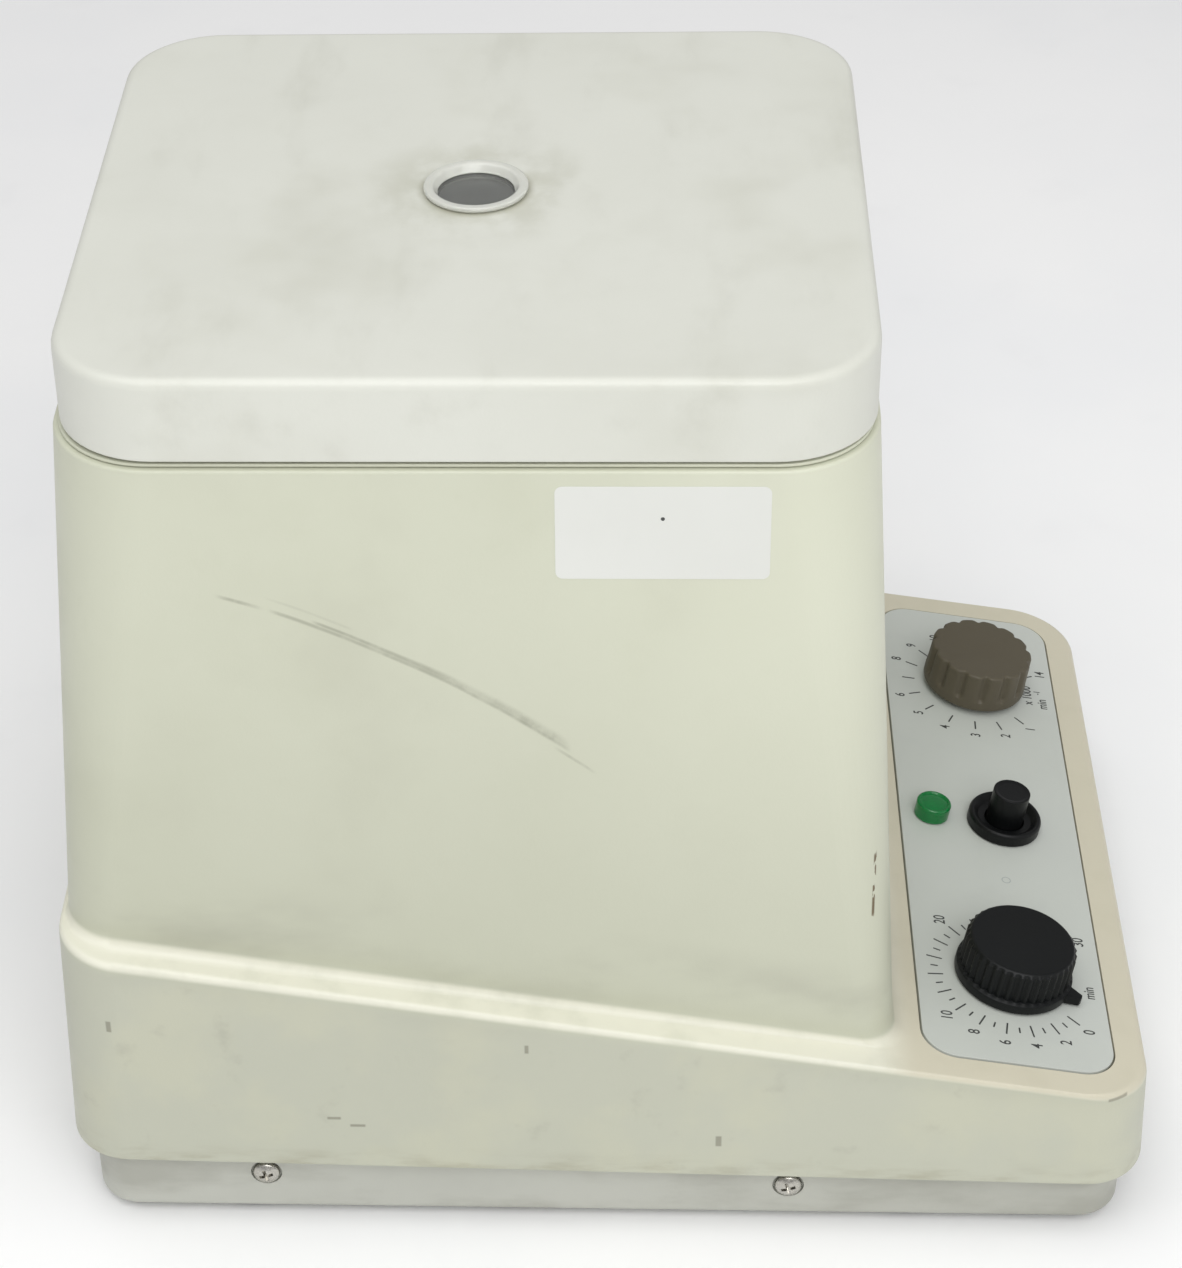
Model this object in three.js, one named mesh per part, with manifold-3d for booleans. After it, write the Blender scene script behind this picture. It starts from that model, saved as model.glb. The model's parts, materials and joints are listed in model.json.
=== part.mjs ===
// Benchtop microcentrifuge, built as an assembly of separate pieces. Millimetres, +Z up.
// The origin is on the bench under the middle of the base. The control panel faces -Y,
// +X is on the right of someone standing at the controls, and the lid hinge is at +Y.
import * as THREE from 'three';
import Module from 'manifold-3d';
import { mergeVertices } from 'three/addons/utils/BufferGeometryUtils.js';

const wasm = await Module();
wasm.setup();

// ---------- driving dimensions ----------
const GAP = 0.3;                 // clearance between pieces that touch
const CORNER_STEPS = 5;          // straight steps in a quarter round corner
const ROUND = 24;                // straight steps round a turned piece
const SMALL_ROUND = 12;          // the same on a small turned piece
const LARGE_ROUND = 36;          // and on the chamber and what seals it

const BASE = {
  halfWidth: 105,                // at the lower edge of the housing
  halfDepth: 139.5,
  corner: 16,
  sideDraft: 0.01,               // outward lean, mm per mm of height
  endDraft: 0.036,
  rimFront: 48.9,                // height of the sloping ledge at its front end
  rimRear: 94.1,                 // and at its rear end
  edgeFront: 19.6,               // height of the housing's lower edge, front and rear
  edgeRear: 24.7,
  wall: 3,
  topWall: 4.5,
};
const TOWER = {
  top: 228.4,
  halfWidth: 89.7,               // at the top
  front: -64.0,
  rear: 127.6,
  corner: 24.3,                  // at the top; the corners get sharper towards the base
  cornerTaper: 0.089,
  sideDraft: 0.046,
  endDraft: 0.056,
  wall: 3,
  rim: { inset: 1.3, width: 2.6, height: 1.1 },   // a strip round the top, under the lid
};
const LID = {
  bottom: 230.45,
  top: 251.85,
  halfWidth: 89.2,
  front: -63.3,
  rear: 125.9,
  corner: 24.3,
  edgeRound: 2.2,
  wall: 2.5,
};
const PAN = {
  bottom: 2.8,
  top: 34,
  inset: 5,                      // behind the housing's lower edge
  edgeRound: 2,
  corner: 11.5,
  wall: 2.5,
};
const FOOT = { radius: 7, x: 89.8, ys: [-78, 93] };
const SCREW = {
  headRadius: 3.5,
  headThick: 2.5,
  shankRadius: 2,
  shank: 12,
  pocket: 1.2,                   // how far the head sits into the pan's wall
  spots: [[88.5, 15.8], [-47.9, 13.6]],           // depth and height
};
const AXIS_Y = 31.3;             // the rotor's axis is vertical, on X = 0
const CHAMBER_PLATE = { halfWidth: 84, halfDepth: 80.3 };
const BOWL = { inner: 76, wall: 1.5, floor: 168.5, flange: 81, neck: 20 };
const SIGHT = { flange: 12.84, window: 10.15, tube: 10.9, height: 1.65 };
const HINGE = { y: 129.9, z: 229.6, knuckle: 2.1, pin: 1, halfLength: 38, sheet: 1.2 };
const LATCH = { y: -55.5, z: 217.5, bolt: 2.1 };
const STRIKER = { halfDepth: 3.8, flangeHalfWidth: 8, bladeHalfWidth: 1.5 };
const STRIKER_SLOT = { halfWidth: 4, y: [-60.9, -51] };
const PANEL = { front: -129.95, rear: -80.9, halfWidth: 96.9, corner: 9, thick: 1.5, proud: 0.3 };
const TIMER = {
  x: -64,
  y: -106,
  radius: 14.6,
  skirt: 15.4,
  face: 13.6,
  bottom: 0.9,
  top: 13.2,
  ribs: 38,
  pointer: { tip: 19, tipHalfWidth: 0.9, rootHalfWidth: 2.9 },
};
const SPEED = { x: 61.9, y: -105.9, radius: 14.8, bottom: 2.3, top: 14, lobes: 14 };
const LAMP = { x: -0.8, y: -89.2, radius: 4.8, top: 5.1 };
const BUTTON = {
  x: -1.0,
  y: -109.3,
  collar: 10.1,
  collarTop: 4.3,
  collarRim: 0.6,                // the rim's outer chamfer and flat are this wide
  well: 2.5,                     // height of the floor the cap stands in
  wellRadius: 7.3,
  cap: 5.1,
  capTop: 12.2,
  travel: 3,
};
const INLET = { x: 26, z: 56 };
const SWITCH = { x: -6, z: 56, tilt: 9, pivotY: 132.3 };
const FUSE = { x: -32, z: 56 };
const REAR_PLATE = { outer: 134.2, thick: 2, halfWidth: 56, bottom: 36, top: 76 };   // outer is its rear face

const slope = Math.atan2(BASE.rimRear - BASE.rimFront, 2 * BASE.halfDepth);
const radians = THREE.MathUtils.degToRad;

// ---------- boolean helpers ----------
function asSolid(geometry) {
  const bare = geometry.clone();
  bare.deleteAttribute('normal');
  bare.deleteAttribute('uv');
  const merged = mergeVertices(bare, 1e-4);
  const vertProperties = new Float32Array(merged.attributes.position.array);
  const triVerts = new Uint32Array(merged.index.array);
  if (signedVolume(vertProperties, triVerts) < 0) {
    for (let i = 0; i < triVerts.length; i += 3) {
      [triVerts[i], triVerts[i + 1]] = [triVerts[i + 1], triVerts[i]];
    }
  }
  return new wasm.Manifold(new wasm.Mesh({ numProp: 3, vertProperties, triVerts }));
}

function signedVolume(points, triangles) {
  const corner = (i) => new THREE.Vector3().fromArray(points, triangles[i] * 3);
  let volume = 0;
  for (let i = 0; i < triangles.length; i += 3) {
    volume += corner(i).dot(corner(i + 1).cross(corner(i + 2))) / 6;
  }
  return volume;
}

function asGeometry(solid) {
  const mesh = solid.getMesh();
  const geometry = new THREE.BufferGeometry();
  geometry.setAttribute('position', new THREE.BufferAttribute(mesh.vertProperties, 3));
  geometry.setIndex(new THREE.BufferAttribute(mesh.triVerts, 1));
  geometry.computeVertexNormals();
  return geometry;
}

const closed = (shape) => asGeometry(asSolid(shape));
const join = (...shapes) => asGeometry(shapes.map(asSolid).reduce((sum, next) => sum.add(next)));
const cut = (body, ...tools) => asGeometry(
  tools.map(asSolid).reduce((rest, tool) => rest.subtract(tool), asSolid(body)),
);
const keepInside = (body, limit) => asGeometry(asSolid(body).intersect(asSolid(limit)));

// ---------- shape helpers ----------
function block([x0, x1], [y0, y1], [z0, z1]) {
  const shape = new THREE.BoxGeometry(x1 - x0, y1 - y0, z1 - z0);
  return shape.translate((x0 + x1) / 2, (y0 + y1) / 2, (z0 + z1) / 2);
}

// An upright cylinder between two heights.
function post(radius, z0, z1, x = 0, y = 0, steps = SMALL_ROUND) {
  const shape = new THREE.CylinderGeometry(radius, radius, z1 - z0, steps);
  return shape.rotateX(Math.PI / 2).translate(x, y, (z0 + z1) / 2);
}

// A cylinder along X between two places.
function rod(radius, x0, x1, y, z, steps = SMALL_ROUND) {
  const shape = new THREE.CylinderGeometry(radius, radius, x1 - x0, steps);
  return shape.rotateZ(Math.PI / 2).translate((x0 + x1) / 2, y, z);
}

// A piece turned about Z from [radius, height] points that close on themselves or end on the axis.
function turned(profile, x = 0, y = 0, steps = ROUND) {
  const points = profile.map(([radius, height]) => new THREE.Vector2(radius, height));
  if (profile[0][0] > 0) {
    points.push(points[0].clone());
  }
  return new THREE.LatheGeometry(points, steps).rotateX(Math.PI / 2).translate(x, y, 0);
}

// The points of a rectangle with round corners, counter-clockwise.
function roundedOutline({ halfX, y0, y1, corner }) {
  const centres = [
    [halfX - corner, y1 - corner],
    [corner - halfX, y1 - corner],
    [corner - halfX, y0 + corner],
    [halfX - corner, y0 + corner],
  ];
  return centres.flatMap(([x, y], quarter) => Array.from({ length: CORNER_STEPS + 1 }, (_, step) => {
    const angle = (quarter + step / CORNER_STEPS) * Math.PI / 2;
    return new THREE.Vector2(x + corner * Math.cos(angle), y + corner * Math.sin(angle));
  }));
}

// A body through rounded rectangles stacked at rising heights.
function loft(sections) {
  const rings = sections.map(roundedOutline);
  const count = rings[0].length;
  const positions = rings.flatMap((ring, level) => ring.flatMap((p) => [p.x, p.y, sections[level].z]));
  const index = [];
  for (let level = 1; level < rings.length; level += 1) {
    for (let i = 0; i < count; i += 1) {
      const below = (level - 1) * count + i;
      const next = (level - 1) * count + ((i + 1) % count);
      index.push(below, next, next + count, below, next + count, below + count);
    }
  }
  const lastRing = (rings.length - 1) * count;
  THREE.ShapeUtils.triangulateShape(rings[0], []).forEach(([a, b, c]) => {
    index.push(c, b, a, a + lastRing, b + lastRing, c + lastRing);
  });
  const geometry = new THREE.BufferGeometry();
  geometry.setAttribute('position', new THREE.Float32BufferAttribute(positions, 3));
  geometry.setIndex(index);
  return geometry;
}

// An outline in X and Y extruded between two heights.
function plate(outline, z0, z1) {
  const shape = new THREE.Shape(outline);
  const geometry = new THREE.ExtrudeGeometry(shape, { depth: z1 - z0, bevelEnabled: false });
  return geometry.translate(0, 0, z0);
}

// Everything below a plane that rises towards the rear from its front to its rear height.
function belowSlope(front, rear) {
  const depth = 400;
  const width = 500;
  const reach = 300;
  const tilt = Math.atan2(rear - front, 2 * BASE.halfDepth);
  const shape = new THREE.BoxGeometry(width, reach * 2, depth).translate(0, 0, -depth / 2);
  return shape.rotateX(tilt).translate(0, 0, (front + rear) / 2);
}

// ---------- the assembly ----------
const machine = new THREE.Group();
const panel = new THREE.Group();           // Z along the control panel's outward normal
const panelMiddleY = (PANEL.front + PANEL.rear) / 2;
const ledgeHeight = (y) => BASE.rimFront
  + (BASE.rimRear - BASE.rimFront) * (y + BASE.halfDepth) / (2 * BASE.halfDepth);
panel.rotation.x = slope;
panel.position.set(0, panelMiddleY, ledgeHeight(panelMiddleY));
machine.add(panel);
const onPanelY = (y) => (y - panelMiddleY) / Math.cos(slope);

function finish(color, roughness, metalness = 0) {
  return new THREE.MeshStandardMaterial({ color, roughness, metalness });
}
const finishes = {
  ivory: finish(0xcdcfb9, 0.5),
  lidWhite: finish(0xdddfd8, 0.45),
  panGrey: finish(0xc3c3bc, 0.55),
  panelGrey: finish(0xbec5c5, 0.45),
  taupe: finish(0x645a4e, 0.5),
  black: finish(0x141414, 0.4),
  green: finish(0x2f9a63, 0.25),
  clear: finish(0xdfe6e4, 0.08),
  rubber: finish(0x1b1b1b, 0.85),
  steel: finish(0xb9bbbd, 0.35, 1),
  darkSteel: finish(0x6d6f72, 0.5, 1),
  alloy: finish(0xc6c8ca, 0.35, 1),
  copper: finish(0x9c5a2e, 0.45, 1),
  board: finish(0x2c6b3f, 0.6),
  nickel: finish(0xaeb0b2, 0.3, 1),
};

function add(name, geometry, material, parent = machine) {
  const mesh = new THREE.Mesh(geometry, material);
  mesh.name = name;
  parent.add(mesh);
}

// ---------- housing ----------
function baseSection(z, inset) {
  const endAt = (edge) => BASE.halfDepth - inset - BASE.endDraft * (z - edge);
  return {
    z,
    halfX: BASE.halfWidth - inset - BASE.sideDraft * (z - BASE.edgeFront),
    y0: -endAt(BASE.edgeFront),
    y1: endAt(BASE.edgeRear),
    corner: BASE.corner - inset,
  };
}

function towerSection(z, inset) {
  const drop = TOWER.top - z;
  return {
    z,
    halfX: TOWER.halfWidth - inset + TOWER.sideDraft * drop,
    y0: TOWER.front + inset - TOWER.endDraft * drop,
    y1: TOWER.rear - inset + TOWER.endDraft * drop,
    corner: TOWER.corner - inset - TOWER.cornerTaper * drop,
  };
}

// A lug inside the pan wall that takes one housing screw; it hangs from the housing's wall.
function screwLug(side, y, z) {
  const face = BASE.halfWidth - PAN.inset - PAN.wall - GAP;
  const depth = 6;
  const halfWidth = 6;
  const below = 4.5;
  const bridge = [PAN.top + 2, PAN.top + 8];
  const drop = block(sorted(side * (face - depth), side * face), [y - halfWidth, y + halfWidth],
    [z - below, bridge[1]]);
  const arm = block(sorted(side * (face - depth), side * (BASE.halfWidth - BASE.wall + 1)),
    [y - halfWidth, y + halfWidth], bridge);
  return join(drop, arm);
}

function sorted(a, b) {
  return [Math.min(a, b), Math.max(a, b)];
}

function around(centre, half) {
  return [centre - half, centre + half];
}

const sides = [[-1, 'left'], [1, 'right']];
const screwPlaces = sides.flatMap(([side, hand]) => SCREW.spots.map(([y, z], i) => (
  { side, y, z, name: `housing_screw_${hand}_${i === 0 ? 'rear' : 'front'}` })));

// The control plate's holes; the housing's are wider by a margin.
const HOLE_MARGIN = 0.6;
const panelHoles = [
  { place: TIMER, radius: 4.4 },
  { place: SPEED, radius: 4.4 },
  { place: LAMP, radius: 3.6 },
  { place: BUTTON, radius: 7 },
];

// A straight hole along the panel's normal, in the machine's frame.
function panelHole(x, y, radius) {
  const reach = 12;
  const hole = post(radius, -reach, reach);
  return hole.translate(x, onPanelY(y), 0).rotateX(slope).translate(...panel.position);
}

function panelRecess() {
  const room = 0.4;
  const outline = roundedOutline({
    halfX: PANEL.halfWidth + room,
    y0: onPanelY(PANEL.front) - room,
    y1: onPanelY(PANEL.rear) + room,
    corner: PANEL.corner + room,
  });
  const floor = PANEL.proud - PANEL.thick - GAP;
  return plate(outline, floor, floor + 10).rotateX(slope).translate(...panel.position);
}

const VENT = { count: 9, pitch: 8, width: 3, bottom: 106, top: 150 };
const REAR_WINDOW = { halfWidth: 50, bottom: 38, top: 74 };
const throughRearWall = [120, 150];

function rearVents() {
  return Array.from({ length: VENT.count }, (_, i) => {
    const x = (i - (VENT.count - 1) / 2) * VENT.pitch;
    return block([x - VENT.width / 2, x + VENT.width / 2], throughRearWall, [VENT.bottom, VENT.top]);
  });
}

function housing() {
  const wedge = keepInside(loft([baseSection(0, 0), baseSection(120, 0)]),
    belowSlope(BASE.rimFront, BASE.rimRear));
  const tower = loft([towerSection(40, 0), towerSection(TOWER.top, 0)]);
  const outside = cut(join(wedge, tower), belowSlope(BASE.edgeFront, BASE.edgeRear));
  const wedgeRoom = keepInside(loft([baseSection(0, BASE.wall), baseSection(120, BASE.wall)]),
    belowSlope(BASE.rimFront - BASE.topWall, BASE.rimRear - BASE.topWall));
  const deckBottom = TOWER.top - TOWER.wall;
  const towerRoom = loft([towerSection(10, TOWER.wall), towerSection(deckBottom, TOWER.wall)]);
  const shell = cut(outside, join(wedgeRoom, towerRoom));
  const withLugs = join(shell, ...screwPlaces.map(({ side, y, z }) => screwLug(side, y, z)));
  const panFace = BASE.halfWidth - PAN.inset;
  const lugHoles = screwPlaces.map(({ side, y, z }) => rod(SCREW.shankRadius + GAP,
    ...sorted(side * (panFace - SCREW.shank - SCREW.pocket), side * panFace), y, z));
  const throughDeck = [deckBottom - 5, TOWER.top + 5];
  const plateSeat = block(around(0, CHAMBER_PLATE.halfWidth + GAP),
    around(AXIS_Y, CHAMBER_PLATE.halfDepth + GAP), throughDeck);
  const strikerSlot = block(around(0, STRIKER_SLOT.halfWidth), STRIKER_SLOT.y, throughDeck);
  const rearWindow = block(around(0, REAR_WINDOW.halfWidth), throughRearWall,
    [REAR_WINDOW.bottom, REAR_WINDOW.top]);
  return cut(withLugs, ...lugHoles, plateSeat, strikerSlot, rearWindow, ...rearVents(), panelRecess(),
    ...panelHoles.map(({ place, radius }) => panelHole(place.x, place.y, radius + HOLE_MARGIN)));
}
add('housing', housing(), finishes.ivory);

// A plate set into the top of the tower; the bowl hangs in its round hole.
function chamberPlate() {
  const { halfWidth, halfDepth } = CHAMBER_PLATE;
  const sheet = block(around(0, halfWidth), around(AXIS_Y, halfDepth), [TOWER.top - TOWER.wall, TOWER.top]);
  const bowlRoom = BOWL.inner + BOWL.wall + 1;
  return cut(sheet, post(bowlRoom, TOWER.top - 10, TOWER.top + 5, 0, AXIS_Y, LARGE_ROUND));
}
add('chamber_plate', chamberPlate(), finishes.ivory);

function towerRim() {
  const { inset, width, height } = TOWER.rim;
  const bottom = TOWER.top + GAP;
  const top = TOWER.top + height;
  const outside = loft([towerSection(bottom, inset), towerSection(top, inset)]);
  return cut(outside, loft([towerSection(bottom - 1, inset + width), towerSection(top + 1, inset + width)]));
}
add('tower_rim', towerRim(), finishes.ivory);

// ---------- base pan, feet and screws ----------
function panSection(z, inset) {
  const halfY = BASE.halfDepth - PAN.inset - inset;
  return { z, halfX: BASE.halfWidth - PAN.inset - inset, y0: -halfY, y1: halfY, corner: PAN.corner - inset };
}

const SLOT = { count: 7, pitch: 9, halfWidth: 1.6, halfLength: 25 };   // air slots under the motor

function basePan() {
  const roundSteps = [0, 45, 90].map(radians);
  const outside = loft([
    ...roundSteps.map((angle) => panSection(
      PAN.bottom + PAN.edgeRound * (1 - Math.cos(angle)), PAN.edgeRound * (1 - Math.sin(angle)))),
    panSection(PAN.top, 0),
  ]);
  const floor = PAN.bottom + PAN.wall;
  const room = loft([panSection(floor, PAN.wall + 3), panSection(floor + 3, PAN.wall),
    panSection(PAN.top + 5, PAN.wall)]);
  const face = BASE.halfWidth - PAN.inset;
  const screwHoles = screwPlaces.map(({ side, y, z }) => rod(SCREW.shankRadius + GAP,
    ...sorted(side * (face - 2 * PAN.wall), side * (face + 1)), y, z));
  const pockets = screwPlaces.map(({ side, y, z }) => rod(SCREW.headRadius + 0.6,
    ...sorted(side * (face - SCREW.pocket), side * (face + 1)), y, z, 16));
  const slots = Array.from({ length: SLOT.count }, (_, i) => {
    const x = (i - (SLOT.count - 1) / 2) * SLOT.pitch;
    return block(around(x, SLOT.halfWidth), around(AXIS_Y, SLOT.halfLength), [PAN.bottom - 1, floor + 1]);
  });
  return cut(outside, room, ...screwHoles, ...pockets, ...slots);
}
add('base_pan', basePan(), finishes.panGrey);

for (const [side, hand] of sides) {
  FOOT.ys.forEach((y, i) => {
    const footTop = PAN.bottom - GAP;
    const foot = turned([[0, 0], [FOOT.radius - 1, 0], [FOOT.radius, 1], [FOOT.radius - 0.4, footTop],
      [0, footTop]], side * FOOT.x, y, 20);
    add(`foot_${hand}_${i === 0 ? 'front' : 'rear'}`, closed(foot), finishes.rubber);
  });
}

// A pan-head screw along X, its head in a pocket of the pan wall.
function housingScrew(side, y, z) {
  const { headRadius, headThick, shankRadius, shank } = SCREW;
  const outline = [[0, -shank], [shankRadius, -shank], [shankRadius, 0], [headRadius, 0],
    [headRadius, headThick * 0.5], [headRadius * 0.6, headThick], [0, headThick]];
  const screw = turned(outline, 0, 0, 16).rotateY(side * Math.PI / 2);
  return closed(screw.translate(side * (BASE.halfWidth - PAN.inset - SCREW.pocket + GAP), y, z));
}
for (const { side, y, z, name } of screwPlaces) {
  add(name, housingScrew(side, y, z), finishes.nickel);
}

// ---------- lid ----------
function lidSection(z, inset) {
  return {
    z,
    halfX: LID.halfWidth - inset,
    y0: LID.front + inset,
    y1: LID.rear - inset,
    corner: LID.corner - inset,
  };
}

function lidShell() {
  const roundAngles = [0, 30, 60, 90].map(radians);
  const outside = loft([
    lidSection(LID.bottom, 0),
    ...roundAngles.map((angle) => lidSection(
      LID.top - LID.edgeRound * (1 - Math.sin(angle)), LID.edgeRound * (1 - Math.cos(angle)))),
  ]);
  const room = loft([lidSection(LID.bottom - 1, LID.wall), lidSection(LID.top - LID.wall, LID.wall)]);
  return cut(outside, room, post(SIGHT.tube + GAP, LID.top - 10, LID.top + 5, 0, AXIS_Y, ROUND));
}
add('lid_shell', lidShell(), finishes.lidWhite);

const LINER = { bottom: 233.8, thick: 2 };
const GASKET = { inner: 74.5, outer: 79, bottom: 230.3 };

function lidLiner() {
  const sheet = loft([
    lidSection(LINER.bottom, LID.wall + 0.5),
    lidSection(LINER.bottom + LINER.thick, LID.wall + 0.5),
  ]);
  return cut(sheet, post(SIGHT.tube + GAP, LINER.bottom - 5, LINER.bottom + 5, 0, AXIS_Y, ROUND));
}
add('lid_liner', lidLiner(), finishes.panGrey);

const gasketTop = LINER.bottom - GAP;
add('lid_gasket', closed(turned([[GASKET.inner, GASKET.bottom], [GASKET.outer, GASKET.bottom],
  [GASKET.outer, gasketTop],
  [GASKET.inner, gasketTop]], 0, AXIS_Y, LARGE_ROUND)), finishes.rubber);

function sightGlass() {
  const top = LID.top + SIGHT.height;
  const windowTop = top - 2.3;
  const seat = LID.top + GAP;
  return closed(turned([[0, windowTop], [SIGHT.window, windowTop], [SIGHT.window, top - 0.4],
    [SIGHT.window + 0.5, top], [SIGHT.flange - 0.6, top], [SIGHT.flange, top - 0.6], [SIGHT.flange, seat],
    [SIGHT.tube, seat], [SIGHT.tube, LINER.bottom], [SIGHT.tube - 1.5, LINER.bottom],
    [SIGHT.tube - 1.5, windowTop - 2], [0, windowTop - 2]], 0, AXIS_Y));
}
add('sight_glass', sightGlass(), finishes.clear);

function lidStriker() {
  const top = LINER.bottom - GAP;
  const depth = around(LATCH.y, STRIKER.halfDepth);
  const flange = block(around(0, STRIKER.flangeHalfWidth), depth, [top - 1.6, top]);
  const blade = block(around(0, STRIKER.bladeHalfWidth), depth, [LATCH.z - 4.5, top]);
  return cut(join(flange, blade), rod(LATCH.bolt + 0.5, -5, 5, LATCH.y, LATCH.z));
}
add('lid_striker', lidStriker(), finishes.steel);

// ---------- hinge ----------
const KNUCKLES = 5;
const knuckleLength = 2 * HINGE.halfLength / KNUCKLES;

function knuckles(first) {
  const places = Array.from({ length: KNUCKLES }, (_, i) => i).filter((i) => i % 2 === first);
  return places.map((i) => {
    const start = -HINGE.halfLength + i * knuckleLength;
    return [start + 0.2, start + knuckleLength - 0.2];
  });
}

function hingeLeaf(first, sheetY, sheetZ, webY, webZ) {
  const sheet = block([-HINGE.halfLength, HINGE.halfLength], sheetY, sheetZ);
  const barrels = knuckles(first).flatMap((span) => [
    rod(HINGE.knuckle, ...span, HINGE.y, HINGE.z),
    block(span, webY, webZ),
  ]);
  const bore = rod(HINGE.pin + 0.25, -HINGE.halfLength - 1, HINGE.halfLength + 1, HINGE.y, HINGE.z);
  return cut(join(sheet, ...barrels), bore);
}
const bodySheetY = [129, 129 + HINGE.sheet];
const lidSheetY = [LID.rear + GAP, LID.rear + GAP + HINGE.sheet];
const knuckleTop = HINGE.z + HINGE.knuckle;
add('hinge_body_leaf', hingeLeaf(0, bodySheetY, [209, 225.5], bodySheetY, [225, HINGE.z - HINGE.pin - 0.5]),
  finishes.steel);
add('hinge_lid_leaf', hingeLeaf(1, lidSheetY, [231, 240], [lidSheetY[0], HINGE.y], [230.9, knuckleTop - 0.1]),
  finishes.steel);
add('hinge_pin', closed(rod(HINGE.pin, -HINGE.halfLength - 1, HINGE.halfLength + 1, HINGE.y, HINGE.z)),
  finishes.nickel);

// ---------- lid lock ----------
const SOLENOID = { x: [24, 58], y: [-60.3, -48], below: 7, boreEnd: 52 };
const BOLT = { tip: 4.5, end: 45 };
const solenoidBody = block(SOLENOID.x, SOLENOID.y, [LATCH.z - SOLENOID.below, TOWER.top - TOWER.wall - GAP]);
const boltBore = rod(LATCH.bolt + GAP, SOLENOID.x[0] - 1, SOLENOID.boreEnd, LATCH.y, LATCH.z);
add('latch_solenoid', cut(solenoidBody, boltBore), finishes.darkSteel);
add('latch_bolt', closed(rod(LATCH.bolt, BOLT.tip, BOLT.end, LATCH.y, LATCH.z)), finishes.steel);

// ---------- chamber, rotor and motor ----------
const flangeBottom = TOWER.top + GAP;
const flangeTop = flangeBottom + 1.3;
const bowlOuter = BOWL.inner + BOWL.wall;
add('chamber_bowl', closed(turned([[BOWL.neck, BOWL.floor], [bowlOuter - 6.5, BOWL.floor],
  [bowlOuter, BOWL.floor + 6.5], [bowlOuter, flangeBottom], [BOWL.flange, flangeBottom],
  [BOWL.flange, flangeTop], [BOWL.inner, flangeTop], [BOWL.inner, BOWL.floor + 7.5],
  [BOWL.inner - 6, BOWL.floor + 1.5], [BOWL.neck, BOWL.floor + 1.5]], 0, AXIS_Y, LARGE_ROUND)),
finishes.steel);

const SHAFT = { radius: 4, bottom: 56, top: 212, shoulder: 187.6 };
const TUBE = { count: 18, radius: 5.6, mouthRadius: 38, mouthHeight: 213.5, depth: 37, angle: 45 };

function tubeHole(turn) {
  const above = 12;
  const hole = new THREE.CylinderGeometry(TUBE.radius, TUBE.radius, TUBE.depth + above, 8);
  hole.rotateX(Math.PI / 2).translate(0, 0, (above - TUBE.depth) / 2);
  hole.rotateY(-radians(TUBE.angle)).translate(TUBE.mouthRadius, 0, TUBE.mouthHeight);
  return hole.rotateZ(turn).translate(0, AXIS_Y, 0);
}

// A cone rotor: a hub, a thin cone out to the rim, and a slanted face for the tubes.
function tubeRotor() {
  const bore = SHAFT.radius + GAP;
  const body = turned([[bore, 188], [14, 188], [22, 192], [56, 182], [68, 184], [71, 190], [71, 195.5],
    [46, 220.8], [43.3, 218.8], [31, 206.5], [bore, 206]], 0, AXIS_Y, LARGE_ROUND);
  const holes = Array.from({ length: TUBE.count }, (_, i) => tubeHole(2 * Math.PI * i / TUBE.count));
  return cut(body, ...holes);
}
add('rotor', tubeRotor(), finishes.alloy);
add('rotor_nut', cut(post(9, 206.3, 213, 0, AXIS_Y, 6), post(SHAFT.radius + GAP, 200, 220, 0, AXIS_Y)),
  finishes.nickel);
add('rotor_lid', closed(turned([[0, 215], [7, 215], [7, 221.3], [47, 221.3], [47.5, 222.2], [46, 223.8],
  [8, 223.8], [7.4, 229], [0, 229]], 0, AXIS_Y)), finishes.alloy);
add('motor_shaft', closed(turned([[0, SHAFT.bottom], [SHAFT.radius, SHAFT.bottom],
  [SHAFT.radius, SHAFT.shoulder - 5], [7, SHAFT.shoulder - 5], [7, SHAFT.shoulder],
  [SHAFT.radius, SHAFT.shoulder], [SHAFT.radius, SHAFT.top], [0, SHAFT.top]], 0, AXIS_Y, 16)),
finishes.steel);

const MOTOR = { radius: 42, bottom: 62, top: 150, wall: 2, bearing: 11, bearingHeight: 7 };
const shaftBore = SHAFT.radius + GAP;
const bearingSeat = MOTOR.bearing + GAP;
add('motor_case', closed(turned([[SHAFT.radius + 2, MOTOR.bottom], [MOTOR.radius, MOTOR.bottom],
  [MOTOR.radius, MOTOR.top], [MOTOR.radius - MOTOR.wall, MOTOR.top], [MOTOR.radius - MOTOR.wall, 72],
  [14, 72], [14, 72.5], [bearingSeat, 72.5], [bearingSeat, MOTOR.bottom + 2],
  [SHAFT.radius + 2, MOTOR.bottom + 2]], 0, AXIS_Y)), finishes.darkSteel);
add('motor_cover', closed(turned([[bearingSeat, MOTOR.top - 6], [14, MOTOR.top - 6], [14, MOTOR.top + GAP],
  [MOTOR.radius, MOTOR.top + GAP], [MOTOR.radius, MOTOR.top + 4], [SHAFT.radius + 2, MOTOR.top + 4],
  [SHAFT.radius + 2, MOTOR.top + 2], [bearingSeat, MOTOR.top + 2]], 0, AXIS_Y)), finishes.alloy);

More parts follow.
